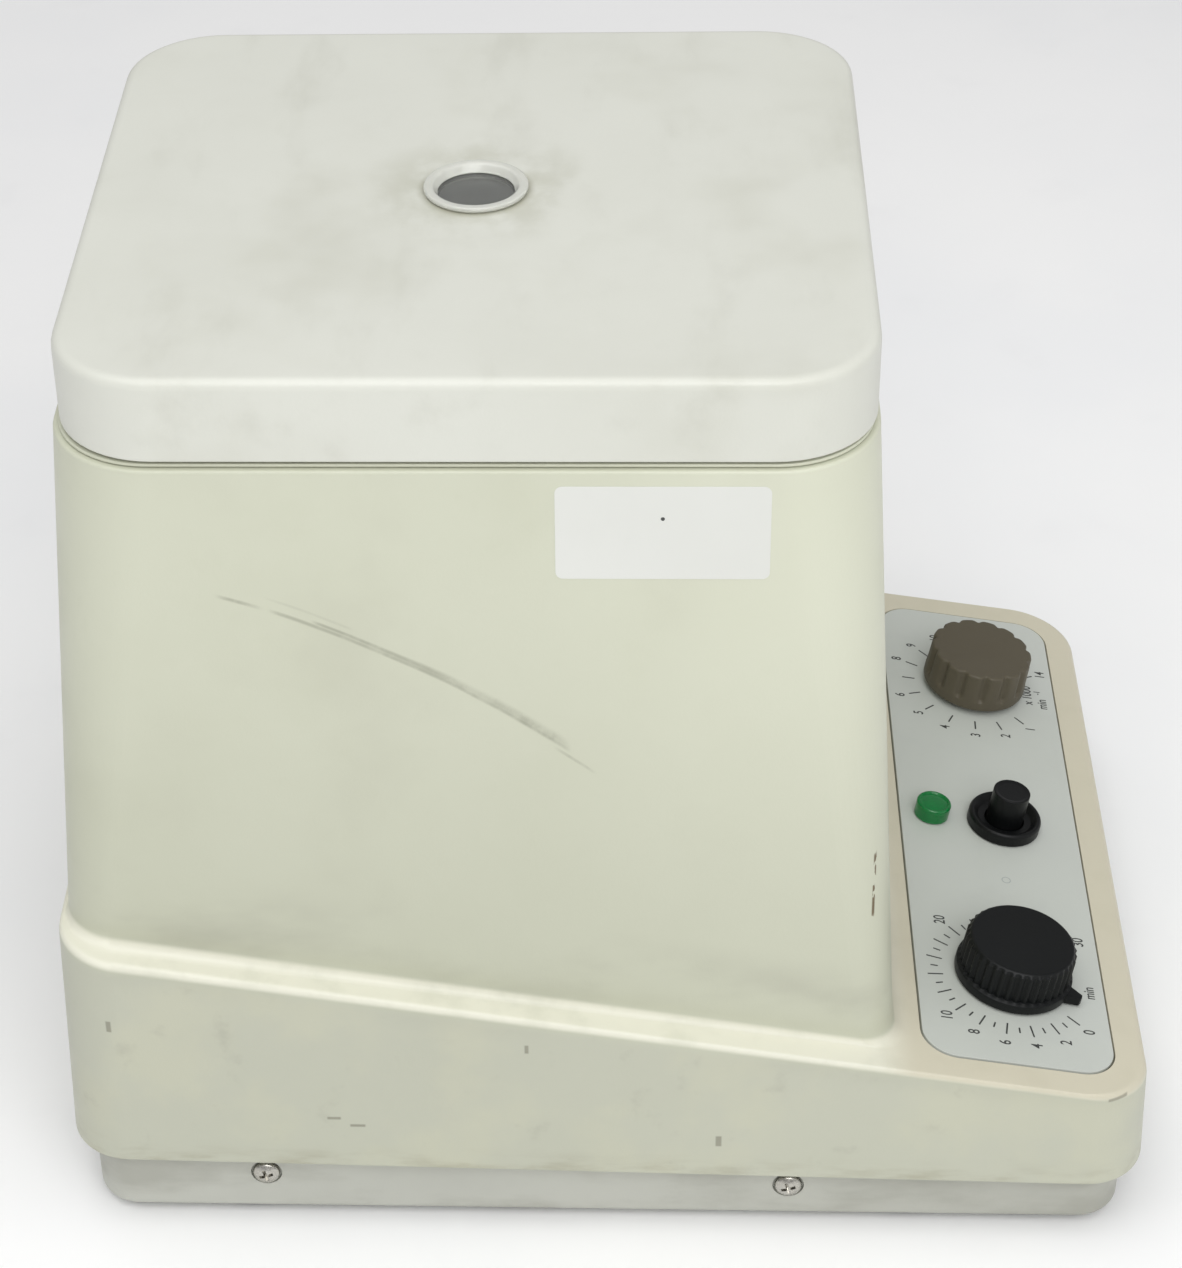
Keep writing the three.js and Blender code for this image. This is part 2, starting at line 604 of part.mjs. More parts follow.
function bearing(z) {
  return closed(turned([[shaftBore, z], [MOTOR.bearing, z], [MOTOR.bearing, z + MOTOR.bearingHeight],
    [shaftBore, z + MOTOR.bearingHeight]], 0, AXIS_Y, 20));
}
add('bearing_lower', bearing(MOTOR.bottom + 2 + GAP), finishes.steel);
add('bearing_upper', bearing(MOTOR.top + 2 - GAP - MOTOR.bearingHeight), finishes.steel);
add('stator', closed(turned([[27.5, 84], [MOTOR.radius - MOTOR.wall - GAP, 84],
  [MOTOR.radius - MOTOR.wall - GAP, 132], [27.5, 132]], 0, AXIS_Y)), finishes.copper);
add('armature', closed(turned([[shaftBore, 80], [26.5, 84], [26.5, 132], [shaftBore, 136]], 0, AXIS_Y)),
  finishes.darkSteel);

const MOUNTING = { plateBottom: 157.5, plateTop: 160, spread: 52, mountRadius: 7, mountHeight: 14 };
const mountSpots = sides.flatMap(([side, hand]) => [[-1, 'front'], [1, 'rear']].map(([end, where]) => ({
  x: side * MOUNTING.spread,
  y: AXIS_Y + end * MOUNTING.spread,
  name: `${where}_${hand}`,
})));
const motorPlate = plate(roundedOutline({ halfX: 60, y0: AXIS_Y - 60, y1: AXIS_Y + 60, corner: 12 }),
  MOUNTING.plateBottom, MOUNTING.plateTop);
add('motor_plate', cut(motorPlate, post(16, 150, 170, 0, AXIS_Y)), finishes.steel);

const mountTop = MOUNTING.plateBottom - GAP;
const mountBottom = mountTop - MOUNTING.mountHeight;
for (const { x, y, name } of mountSpots) {
  add(`motor_mount_${name}`, closed(turned([[0, mountBottom], [MOUNTING.mountRadius, mountBottom],
    [MOUNTING.mountRadius - 1.5, (mountBottom + mountTop) / 2], [MOUNTING.mountRadius, mountTop],
    [0, mountTop]], x, y, 16)), finishes.rubber);
}

// A welded stand: a ring plate on four legs that carries the motor's rubber mounts.
function motorStand() {
  const ringTop = mountBottom - GAP;
  const ring = plate(roundedOutline({ halfX: 60, y0: AXIS_Y - 60, y1: AXIS_Y + 60, corner: 12 }),
    ringTop - 2.5, ringTop);
  const floor = PAN.bottom + PAN.wall + GAP;
  const legs = mountSpots.map(({ x, y }) => block([x - 5, x + 5], [y - 5, y + 5], [floor, ringTop - 1]));
  const pads = mountSpots.map(({ x, y }) => block([x - 8, x + 8], [y - 8, y + 8], [floor, floor + 2]));
  return cut(join(ring, ...legs, ...pads), post(MOTOR.radius + 2, 130, 160, 0, AXIS_Y, ROUND));
}
add('motor_stand', motorStand(), finishes.darkSteel);

// ---------- control panel ----------
function controlPlate() {
  const outline = roundedOutline({
    halfX: PANEL.halfWidth,
    y0: onPanelY(PANEL.front),
    y1: onPanelY(PANEL.rear),
    corner: PANEL.corner,
  });
  const sheet = plate(outline, PANEL.proud - PANEL.thick, PANEL.proud);
  const holes = panelHoles.map(({ place, radius }) => post(radius, -5, 5, place.x, onPanelY(place.y)));
  return cut(sheet, ...holes);
}
add('control_plate', controlPlate(), finishes.panelGrey, panel);

// The outline of a knob whose edge waves in and out.
function wavyOutline(radius, waves, depth, stepsPerWave) {
  const count = waves * stepsPerWave;
  return Array.from({ length: count }, (_, i) => {
    const angle = 2 * Math.PI * i / count;
    const reach = radius - depth * (0.5 - 0.5 * Math.cos(waves * angle));
    return new THREE.Vector2(reach * Math.cos(angle), reach * Math.sin(angle));
  });
}

function placed(geometry, place) {
  return geometry.translate(place.x, onPanelY(place.y), 0);
}

const knobBore = 3.3;
const shaftRadius = 3;
const switchTop = -PANEL.thick - BASE.topWall;       // just under the housing's top wall

function knob(outline, place) {
  const body = plate(outline, place.bottom, place.top);
  return placed(cut(body, post(knobBore, place.bottom - 1, place.top - 3)), place);
}
const timerRest = radians(244);                      // the pointer at rest, from +X about the panel's normal

function timerKnob() {
  const skirtTop = TIMER.bottom + 3;
  const grip = plate(wavyOutline(TIMER.radius, TIMER.ribs, 0.5, 2), skirtTop - 0.2, TIMER.top - 0.8);
  const skirt = post(TIMER.skirt, TIMER.bottom, skirtTop, 0, 0, LARGE_ROUND);
  const face = post(TIMER.face, TIMER.top - 1, TIMER.top, 0, 0, LARGE_ROUND);
  const { tip, tipHalfWidth, rootHalfWidth } = TIMER.pointer;
  const root = TIMER.skirt - 2;
  const wedge = [[root, -rootHalfWidth], [tip, -tipHalfWidth], [tip, tipHalfWidth], [root, rootHalfWidth]];
  const pointer = plate(wedge.map(([x, y]) => new THREE.Vector2(x, y)), TIMER.bottom, skirtTop - 0.4);
  const body = join(grip, skirt, face, pointer.rotateZ(timerRest));
  return placed(cut(body, post(knobBore, TIMER.bottom - 1, TIMER.top - 3)), TIMER);
}
add('timer_knob', timerKnob(), finishes.black, panel);
add('speed_knob', knob(wavyOutline(SPEED.radius, SPEED.lobes, 1.2, 4), SPEED), finishes.taupe, panel);
for (const [name, place] of [['timer_shaft', TIMER], ['speed_shaft', SPEED]]) {
  const shaft = post(shaftRadius, switchTop + GAP, place.top - 3 - GAP);
  add(name, closed(placed(shaft, place)), finishes.steel, panel);
}
const timerBody = block([-15, 15], [-16, 16], [switchTop - 22, switchTop]);
add('timer_body', closed(placed(timerBody, TIMER)), finishes.darkSteel, panel);
add('speed_control', closed(placed(post(10, switchTop - 9, switchTop), SPEED)), finishes.darkSteel, panel);

const lampProfile = [[0, -3], [3.3, -3], [3.3, PANEL.proud + GAP], [LAMP.radius, PANEL.proud + GAP],
  [LAMP.radius, LAMP.top - 1], [LAMP.radius - 1, LAMP.top], [0, LAMP.top]];
add('lamp_lens', closed(placed(turned(lampProfile, 0, 0, 20), LAMP)), finishes.green, panel);
add('lamp_holder', closed(placed(post(3.9, -20, -3 - GAP), LAMP)), finishes.black, panel);

const collarBottom = PANEL.proud + GAP;
const capBore = BUTTON.cap + GAP;
const collarProfile = [[capBore, collarBottom], [BUTTON.collar, collarBottom],
  [BUTTON.collar, BUTTON.collarTop - BUTTON.collarRim], [BUTTON.collar - BUTTON.collarRim, BUTTON.collarTop],
  [BUTTON.collar - 2 * BUTTON.collarRim, BUTTON.collarTop], [BUTTON.wellRadius, BUTTON.well],
  [capBore, BUTTON.well]];
add('button_collar', closed(placed(turned(collarProfile), BUTTON)), finishes.black, panel);
const capBottom = -4;
const capRoom = capBottom - BUTTON.travel - 1;
const buttonSwitch = turned([[0, -24], [6.8, -24], [6.8, -2], [capBore, -2], [capBore, capRoom],
  [0, capRoom]], 0, 0, 20);
add('button_switch', closed(placed(buttonSwitch, BUTTON)), finishes.darkSteel, panel);
add('button_cap', closed(placed(turned([[0, capBottom], [BUTTON.cap, capBottom],
  [BUTTON.cap, BUTTON.capTop - 0.6], [BUTTON.cap - 0.6, BUTTON.capTop], [0, BUTTON.capTop]]), BUTTON)),
finishes.black, panel);

// ---------- electrics ----------
const BOARD = { x: [-55, 55], y: [-128, -78], top: 13.6, thick: 1.6 };
const HEAT_SINK = { x: [18, 48], y: [-98, -84], top: 34 };
const TRANSFORMER = { x: [30, 76], y: [94, 128], top: 40 };
const CAPACITOR = { x: -60, y: 108, radius: 13, top: 50 };
const onPanFloor = PAN.bottom + PAN.wall + GAP;
add('control_board', closed(block(BOARD.x, BOARD.y, [BOARD.top - BOARD.thick, BOARD.top])), finishes.board);
add('board_heat_sink', closed(block(HEAT_SINK.x, HEAT_SINK.y, [BOARD.top + GAP, HEAT_SINK.top])),
  finishes.alloy);
add('mains_transformer', closed(block(TRANSFORMER.x, TRANSFORMER.y, [onPanFloor, TRANSFORMER.top])),
  finishes.darkSteel);
const capacitor = post(CAPACITOR.radius, onPanFloor, CAPACITOR.top, CAPACITOR.x, CAPACITOR.y, ROUND);
add('suppression_capacitor', closed(capacitor), finishes.alloy);

// ---------- rear plate, inlet, fuse and mains switch ----------
const rearCutout = { inlet: [14, 10.3], switch: [7, 10], fuse: 6.3 };     // half sizes, and a radius

function fromRear(radius, y0, y1, x, z, steps = 20) {
  const shape = new THREE.CylinderGeometry(radius, radius, y1 - y0, steps);
  return shape.translate(x, (y0 + y1) / 2, z);
}

function rearPlate() {
  const { outer, thick, halfWidth, bottom, top } = REAR_PLATE;
  const sheet = block(around(0, halfWidth), [outer - thick, outer], [bottom, top]);
  const hole = (place, [halfX, halfZ]) => block(
    around(place.x, halfX), throughRearWall, around(place.z, halfZ));
  return cut(sheet, hole(INLET, rearCutout.inlet), hole(SWITCH, rearCutout.switch),
    fromRear(rearCutout.fuse, ...throughRearWall, FUSE.x, FUSE.z));
}
add('rear_plate', rearPlate(), finishes.darkSteel);

const flangeStart = REAR_PLATE.outer + GAP;

function powerInlet() {
  const flange = block(around(INLET.x, 16.5), [flangeStart, flangeStart + 2.5], around(INLET.z, 12.5));
  const body = block(around(INLET.x, 13.6), [112, flangeStart + 1], around(INLET.z, 9.9));
  const socket = block(around(INLET.x, 12), [116, 150], around(INLET.z, 8.2));
  const blades = [[-7, -2], [0, 2], [7, -2]].map(([dx, dz]) => block(
    around(INLET.x + dx, 1), [115, 133], around(INLET.z + dz, 2)));
  return join(cut(join(flange, body), socket), ...blades);
}
add('power_inlet', powerInlet(), finishes.black);

function switchBody() {
  const flange = block(around(SWITCH.x, 8.5), [flangeStart, flangeStart + 1.5], around(SWITCH.z, 12));
  const body = block(around(SWITCH.x, 6.7), [114, flangeStart + 1], around(SWITCH.z, 9.7));
  const room = block(around(SWITCH.x, 5.6), [124, 150], around(SWITCH.z, 8.8));
  return cut(join(flange, body), room);
}
add('switch_body', switchBody(), finishes.black);

// The rocker turns about X; at rest it is tipped to its off side.
function mainsRocker() {
  const outline = [[-7.8, 4], [-7.4, -2], [-2, -4.5], [2, -4.5], [7.4, -2], [7.8, 4], [0, 2.4]];
  const profile = new THREE.Shape(outline.map(([height, out]) => new THREE.Vector2(height, out)));
  const halfWidth = 5.1;
  const shape = new THREE.ExtrudeGeometry(profile, { depth: 2 * halfWidth, bevelEnabled: false });
  shape.translate(0, 0, -halfWidth).rotateY(-Math.PI / 2).rotateX(radians(SWITCH.tilt));
  return closed(shape.translate(SWITCH.x, SWITCH.pivotY, SWITCH.z));
}
add('mains_rocker', mainsRocker(), finishes.black);

add('fuse_holder', closed(turned([[0, -24], [5.9, -24], [5.9, GAP], [7.6, GAP], [7.6, 1.6], [5.4, 1.8],
  [5, 3.4], [0, 3.4]], 0, 0, 20).rotateX(-Math.PI / 2).translate(FUSE.x, REAR_PLATE.outer, FUSE.z)),
finishes.black);

export default machine;
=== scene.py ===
"""The detailed look of a benchtop microcentrifuge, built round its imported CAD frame.

Shapes are worked out in millimetres of the row frame and stored in metres.
"""

import json
import math

import bmesh
import bpy
from mathutils import Matrix, Vector
from mathutils.geometry import tessellate_polygon


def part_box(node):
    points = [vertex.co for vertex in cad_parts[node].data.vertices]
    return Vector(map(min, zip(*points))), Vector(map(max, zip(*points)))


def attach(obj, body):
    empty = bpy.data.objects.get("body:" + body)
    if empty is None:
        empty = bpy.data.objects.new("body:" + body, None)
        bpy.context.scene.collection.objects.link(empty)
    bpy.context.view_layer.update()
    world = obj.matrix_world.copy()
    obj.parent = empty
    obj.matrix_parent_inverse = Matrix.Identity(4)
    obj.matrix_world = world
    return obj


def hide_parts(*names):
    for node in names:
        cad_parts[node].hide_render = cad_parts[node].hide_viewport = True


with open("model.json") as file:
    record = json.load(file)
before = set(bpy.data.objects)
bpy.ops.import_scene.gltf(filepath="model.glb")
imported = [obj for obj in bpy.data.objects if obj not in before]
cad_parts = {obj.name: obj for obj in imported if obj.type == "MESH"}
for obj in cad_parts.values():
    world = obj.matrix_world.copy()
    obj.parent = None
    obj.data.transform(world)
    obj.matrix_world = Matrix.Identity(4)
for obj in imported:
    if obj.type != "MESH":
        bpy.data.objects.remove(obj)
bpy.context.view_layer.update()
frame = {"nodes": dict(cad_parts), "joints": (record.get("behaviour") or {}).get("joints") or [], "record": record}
bodies = frame["record"]["behaviour"]["bodies"]
joints = {joint["name"]: joint for joint in frame["joints"]}

MM = 0.001
GAP = 0.3  # clearance between neighbouring pieces
NOWHERE = Matrix.Identity(4)


# ---------- places taken from the CAD ----------
def box(node):
    """Lowest and highest corner of a CAD node, in millimetres."""
    low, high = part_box(node)
    return low / MM, high / MM


def middle(node):
    low, high = box(node)
    return (low + high) / 2


def placed(where, angle, axis):
    """A frame at a place, turned about one of its own axes."""
    return Matrix.Translation(where) @ Matrix.Rotation(angle, 4, axis)


def body_of(node):
    return next(body for body, nodes in bodies.items() if node in nodes)


def slot_of(node):
    return frame["nodes"][node].material_slots[0].name


BASE_HALF_WIDTH, BASE_HALF_DEPTH, TOWER_TOP = box("housing")[1]
LID_LOW, LID_HIGH = box("lid_shell")
PAN_LOW, PAN_HIGH = box("base_pan")
AXIS = middle("rotor")

BASE_CORNER = 16
BASE_SIDE_DRAFT = 0.01  # inward lean, mm per mm of height
BASE_END_DRAFT = 0.036
EDGE_FRONT = 19.6  # height of the housing's lower edge at its two ends
EDGE_REAR = 24.7
HOUSING_WALL = 3
LEDGE_WALL = 4.5
TOWER_HALF_WIDTH = LID_HIGH.x + 0.5
TOWER_FRONT = LID_LOW.y - 0.7
TOWER_REAR = LID_HIGH.y + 1.7
TOWER_CORNER = 24.3  # at the top
TOWER_CORNER_TAPER = 0.089
TOWER_SIDE_DRAFT = 0.046
TOWER_END_DRAFT = 0.056
LID_WALL = 2.5
LID_CORNER = 24.3
PAN_CORNER = 11.5
PAN_WALL = 2.5

# The panel's frame: Z along its outward normal, origin in the surface of the sloping ledge.
panel_normal = -Vector(joints["lid_button_press"]["axis"])
slope = math.atan2(-panel_normal.y, panel_normal.z)
PLATE_PROUD = 0.3
PLATE_THICK = 1.5
PLATE_CORNER = 9
panel_origin = middle("control_plate") + panel_normal * (PLATE_THICK / 2 - PLATE_PROUD)
PANEL = placed(panel_origin, slope, "X")
LEDGE = (panel_origin.z - math.tan(slope) * panel_origin.y, math.tan(slope))  # z = a + b * y
EDGE = ((EDGE_FRONT + EDGE_REAR) / 2, (EDGE_REAR - EDGE_FRONT) / (2 * BASE_HALF_DEPTH))


def on_panel(node):
    """The place of a CAD node's middle, flat on the panel."""
    place = PANEL.inverted() @ middle(node)
    return Vector((place.x, place.y))


TIMER = on_panel("timer_shaft")
SPEED = on_panel("speed_shaft")
LAMP = on_panel("lamp_lens")
BUTTON = on_panel("button_cap")


# ---------- outlines and paths ----------
def circle(radius, steps=64, centre=(0, 0)):
    turns = [2 * math.pi * i / steps for i in range(steps)]
    return [Vector((centre[0] + radius * math.cos(a), centre[1] + radius * math.sin(a))) for a in turns]


def rounded_box(x0, x1, y0, y1, corner, steps=14):
    """A rectangle with round corners, counter-clockwise."""
    centres = [
        (x1 - corner, y1 - corner),
        (x0 + corner, y1 - corner),
        (x0 + corner, y0 + corner),
        (x1 - corner, y0 + corner),
    ]
    points = []
    for quarter, (x, y) in enumerate(centres):
        for step in range(steps + 1):
            angle = (quarter + step / steps) * math.pi / 2
            points.append(Vector((x + corner * math.cos(angle), y + corner * math.sin(angle))))
    return points


def round_off(points, radii, steps=4):
    """A path whose inner corners are rounded by their own radius."""
    path = [points[0]]
    for i in range(1, len(points) - 1):
        before = points[i - 1] - points[i]
        after = points[i + 1] - points[i]
        reach = min(radii[i], 0.46 * before.length, 0.46 * after.length)
        start = points[i] + before.normalized() * reach
        end = points[i] + after.normalized() * reach
        for step in range(steps + 1):
            t = step / steps
            path.append(start * (1 - t) ** 2 + points[i] * (2 * t * (1 - t)) + end * t**2)
    path.append(points[-1])
    return path


# ---------- meshes ----------
def skin(mesh, columns, caps=True, wrap_path=False):
    """Quads between neighbouring columns of points; the last column meets the first."""
    grid = [[mesh.verts.new(point) for point in column] for column in columns]
    rows = len(grid[0])
    for left, right in zip(grid, grid[1:] + grid[:1]):
        for row in range(rows if wrap_path else rows - 1):
            below, above = row, (row + 1) % rows
            mesh.faces.new((left[below], right[below], right[above], left[above]))
    if caps and not wrap_path:
        mesh.faces.new([column[0] for column in reversed(grid)])
        mesh.faces.new([column[-1] for column in grid])


def turned(mesh, profile, centre=(0, 0), steps=72, ring=False, place=NOWHERE):
    """A piece turned about local Z from (radius, height) points; a ring's profile closes on itself."""
    made = bmesh.new()
    columns = []
    for i in range(steps):
        angle = 2 * math.pi * i / steps
        x, y = math.cos(angle), math.sin(angle)
        columns.append([Vector((centre[0] + p[0] * x, centre[1] + p[0] * y, p[1])) for p in profile])
    skin(made, columns, caps=False, wrap_path=ring)
    bmesh.ops.remove_doubles(made, verts=made.verts, dist=1e-5)
    merge(mesh, made, place)


def merge(mesh, extra, place=NOWHERE):
    """Adds one bmesh to another and frees it."""
    extra.transform(place)
    holder = bpy.data.meshes.new("holder")
    extra.to_mesh(holder)
    extra.free()
    mesh.from_mesh(holder)
    bpy.data.meshes.remove(holder)


def rounded_profile(points, radius=0.4, ring=False, steps=4):
    """A turned piece's (radius, height) points with its corners eased."""
    corners = [Vector(p) for p in points]
    if not ring:
        return round_off(corners, [radius] * len(corners), steps)
    count = len(corners)
    start = (corners[0] + corners[-1]) / 2
    path = round_off([start] + corners + [start], [radius] * (count + 2), steps)
    return path[:-1]


def slab(mesh, outlines, low, high, ease=0.25, place=NOWHERE):
    """A flat piece between two heights. The first outline is its edge, and the others are holes."""
    made = bmesh.new()
    flat = [point for outline in outlines for point in outline]
    bottom = [made.verts.new((p.x, p.y, low)) for p in flat]
    top = [made.verts.new((p.x, p.y, high)) for p in flat]
    for a, b, c in tessellate_polygon([[p.to_3d() for p in outline] for outline in outlines]):
        made.faces.new((bottom[c], bottom[b], bottom[a]))
        made.faces.new((top[a], top[b], top[c]))
    start = 0
    rims = []
    for outline in outlines:
        count = len(outline)
        for i in range(count):
            a, b = start + i, start + (i + 1) % count
            made.faces.new((bottom[a], bottom[b], top[b], top[a]))
            rims += [made.edges.get((bottom[a], bottom[b])), made.edges.get((top[a], top[b]))]
        start += count
    bmesh.ops.recalc_face_normals(made, faces=made.faces)
    if ease:
        bmesh.ops.bevel(made, geom=rims, offset=ease, segments=2, profile=0.5, affect="EDGES")
    merge(mesh, made, place)


def block(mesh, spans, corner=1.0, ease=0.25, place=NOWHERE):
    """A block with round upright corners and eased rims, from its spans in X, Y and Z."""
    (x0, x1), (y0, y1), (z0, z1) = spans
    slab(mesh, [rounded_box(x0, x1, y0, y1, corner, 5)], z0, z1, ease, place)


def object_from(name, mesh):
    """A linked object in metres from a bmesh in millimetres."""
    mesh.transform(Matrix.Scale(MM, 4))
    bmesh.ops.recalc_face_normals(mesh, faces=mesh.faces)
    data = bpy.data.meshes.new(name)
    mesh.to_mesh(data)
    mesh.free()
    made = bpy.data.objects.new(name, data)
    bpy.context.scene.collection.objects.link(made)
    return made


def baked(made):
    """The object's mesh with its modifiers applied."""
    graph = bpy.context.evaluated_depsgraph_get()
    data = bpy.data.meshes.new_from_object(made.evaluated_get(graph))
    made.modifiers.clear()
    made.data = data


def cut(made, cutter):
    """Takes a bmesh in millimetres out of an object."""
    tool = object_from("cutter", cutter)
    step = made.modifiers.new("cut", "BOOLEAN")
    step.operation = "DIFFERENCE"
    step.solver = "EXACT"
    step.object = tool
    baked(made)
    bpy.data.objects.remove(tool)


def smooth(made, sharp=38):
    made.data.shade_smooth()
    made.data.set_sharp_from_angle(angle=math.radians(sharp))
    normals = made.modifiers.new("normals", "WEIGHTED_NORMAL")
    normals.keep_sharp = True


def dress(made, node, look=None, stands_for=True):
    """Puts a finished object on the body and in the slot of a CAD node, which it usually replaces."""
    smooth(made)
    made.data.materials.clear()
    made.data.materials.append(look or looks[slot_of(node)])
    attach(made, body_of(node))
    if stands_for:
        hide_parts(node)


def build_turned(name, node, points, ease=0.4, steps=128, ring=False, centre=(0, AXIS.y),
                 place=NOWHERE, ease_steps=4, look=None, stands_for=True):
    """A turned piece, about the rotor's axis unless it has a centre of its own."""
    mesh = bmesh.new()
    turned(mesh, rounded_profile(points, ease, ring, ease_steps), centre, steps, ring, place)
    dress(object_from(name, mesh), node, look, stands_for)


# ---------- procedural finishes ----------
def linear(red, green, blue):
    """A linear colour from its screen values, 0 to 255."""
    def channel(value):
        value /= 255
        return value / 12.92 if value <= 0.04045 else ((value + 0.055) / 1.055) ** 2.4

    return (channel(red), channel(green), channel(blue), 1.0)


class Look:
    """A procedural material built step by step, in millimetres of the object's own space.

    Colours are given as screen values, 0 to 255.
    """

    def __init__(self, name, colour, roughness, **fixed):
        self.material = bpy.data.materials.new(name)
        self.material.use_nodes = True
        self.tree = self.material.node_tree
        self.surface = self.tree.nodes["Principled BSDF"]
        for socket, value in fixed.items():
            self.surface.inputs[socket.replace("_", " ")].default_value = value
        scaled = self.node("ShaderNodeVectorMath", operation="SCALE")
        scaled.inputs["Scale"].default_value = 1 / MM
        self.join(self.node("ShaderNodeTexCoord").outputs["Object"], scaled.inputs[0])
        self.place = scaled.outputs[0]
        parts = self.node("ShaderNodeSeparateXYZ")
        self.join(self.place, parts.inputs[0])
        self.x, self.y, self.z = parts.outputs
        self.colour = self.constant(colour)
        self.roughness = roughness
        self.height = None

    def node(self, kind, **settings):
        made = self.tree.nodes.new(kind)
        for setting, value in settings.items():
            setattr(made, setting, value)
        return made

    def join(self, value, socket):
        if isinstance(value, bpy.types.NodeSocket):
            self.tree.links.new(value, socket)
        else:
            socket.default_value = value

    def constant(self, colour):
        made = self.node("ShaderNodeRGB")
        made.outputs[0].default_value = linear(*colour)
        return made.outputs[0]

    def maths(self, operation, *values):
        made = self.node("ShaderNodeMath", operation=operation)
        for value, socket in zip(values, made.inputs):
            self.join(value, socket)
        return made.outputs[0]

    def product(self, first, *others):
        for other in others:
            first = self.maths("MULTIPLY", first, other)
        return first

    def ramp(self, value, start, end, low=0.0, high=1.0):
        """Goes smoothly from low to high as value goes from start to end, and stays there outside."""
        made = self.node("ShaderNodeMapRange", interpolation_type="SMOOTHSTEP", clamp=True)
        for amount, socket in zip((value, start, end, low, high), made.inputs):
            self.join(amount, socket)
        return made.outputs[0]

    def noise(self, size, detail=4, stretch=(1, 1, 1), shift=(0, 0, 0), roughness=0.55):
        """Noise whose patches are about size millimetres across."""
        mapping = self.node("ShaderNodeMapping")
        mapping.inputs["Scale"].default_value = [1 / s for s in stretch]
        mapping.inputs["Location"].default_value = shift
        self.join(self.place, mapping.inputs["Vector"])
        made = self.node("ShaderNodeTexNoise")
        made.inputs["Scale"].default_value = 1 / size
        made.inputs["Detail"].default_value = detail
        made.inputs["Roughness"].default_value = roughness
        self.join(mapping.outputs[0], made.inputs["Vector"])
        return made.outputs[0]

    def tint(self, amount, colour):
        """Mixes a colour in where amount is above 0."""
        made = self.node("ShaderNodeMix", data_type="RGBA", clamp_factor=True)
        self.join(amount, made.inputs["Factor"])
        self.join(self.colour, made.inputs["A"])
        self.join(linear(*colour), made.inputs["B"])
        self.colour = made.outputs["Result"]

    def roughen(self, amount):
        """Adds to the roughness."""
        self.roughness = self.maths("ADD", self.roughness, amount)

    def raise_by(self, value, depth):
        """Adds a relief of so many millimetres."""
        relief = self.maths("MULTIPLY", value, depth)
        self.height = relief if self.height is None else self.maths("ADD", self.height, relief)

    def patches(self, size, colour, strength, start=0.45, end=0.75, **kind):
        """Blotches of another colour."""
        self.tint(self.ramp(self.noise(size, **kind), start, end, 0, strength), colour)

    def finish(self):
        self.join(self.colour, self.surface.inputs["Base Color"])
        self.join(self.roughness, self.surface.inputs["Roughness"])
        if self.height is not None:
            bump = self.node("ShaderNodeBump")
            bump.inputs["Distance"].default_value = MM
            self.join(self.height, bump.inputs["Height"])
            self.join(bump.outputs[0], self.surface.inputs["Normal"])
        return self.material


def moulded(name, colour, shade, roughness, grain=0.02, **fixed):
    """Moulded plastic: soft colour drift, fine grain and a few rubbed spots."""
    look = Look(name, colour, roughness, **fixed)
    look.patches(60, shade, 0.5, 0.4, 0.75)
    look.patches(9, shade, 0.25, 0.55, 0.8, detail=6)
    look.roughen(look.ramp(look.noise(25), 0.3, 0.7, -0.06, 0.08))
    look.raise_by(look.noise(0.9, detail=2), grain)
    look.raise_by(look.noise(22, detail=2), 0.05)
    return look


def metal(name, colour, shade, roughness, stretch=(1, 1, 1), **fixed):
    """Metal with a drawn or turned grain and faint stains."""
    look = Look(name, colour, roughness, Metallic=1.0, **fixed)
    look.patches(14, shade, 0.5, 0.45, 0.8)
    grain = look.noise(0.6, detail=3, stretch=stretch)
    look.roughen(look.ramp(grain, 0.3, 0.7, -0.08, 0.1))
    look.raise_by(grain, 0.012)
    return look


def height_over(look, plane):
    """How far above the plane z = a + b * y a point is."""
    return look.maths("SUBTRACT", look.z, look.maths("MULTIPLY_ADD", look.y, plane[1], plane[0]))


def in_band(look, value, low, high, soft):
    """1 between low and high, fading over soft millimetres outside."""
    rising = look.ramp(value, low - soft, low)
    falling = look.ramp(value, high, high + soft, 1, 0)
    return look.product(rising, falling)


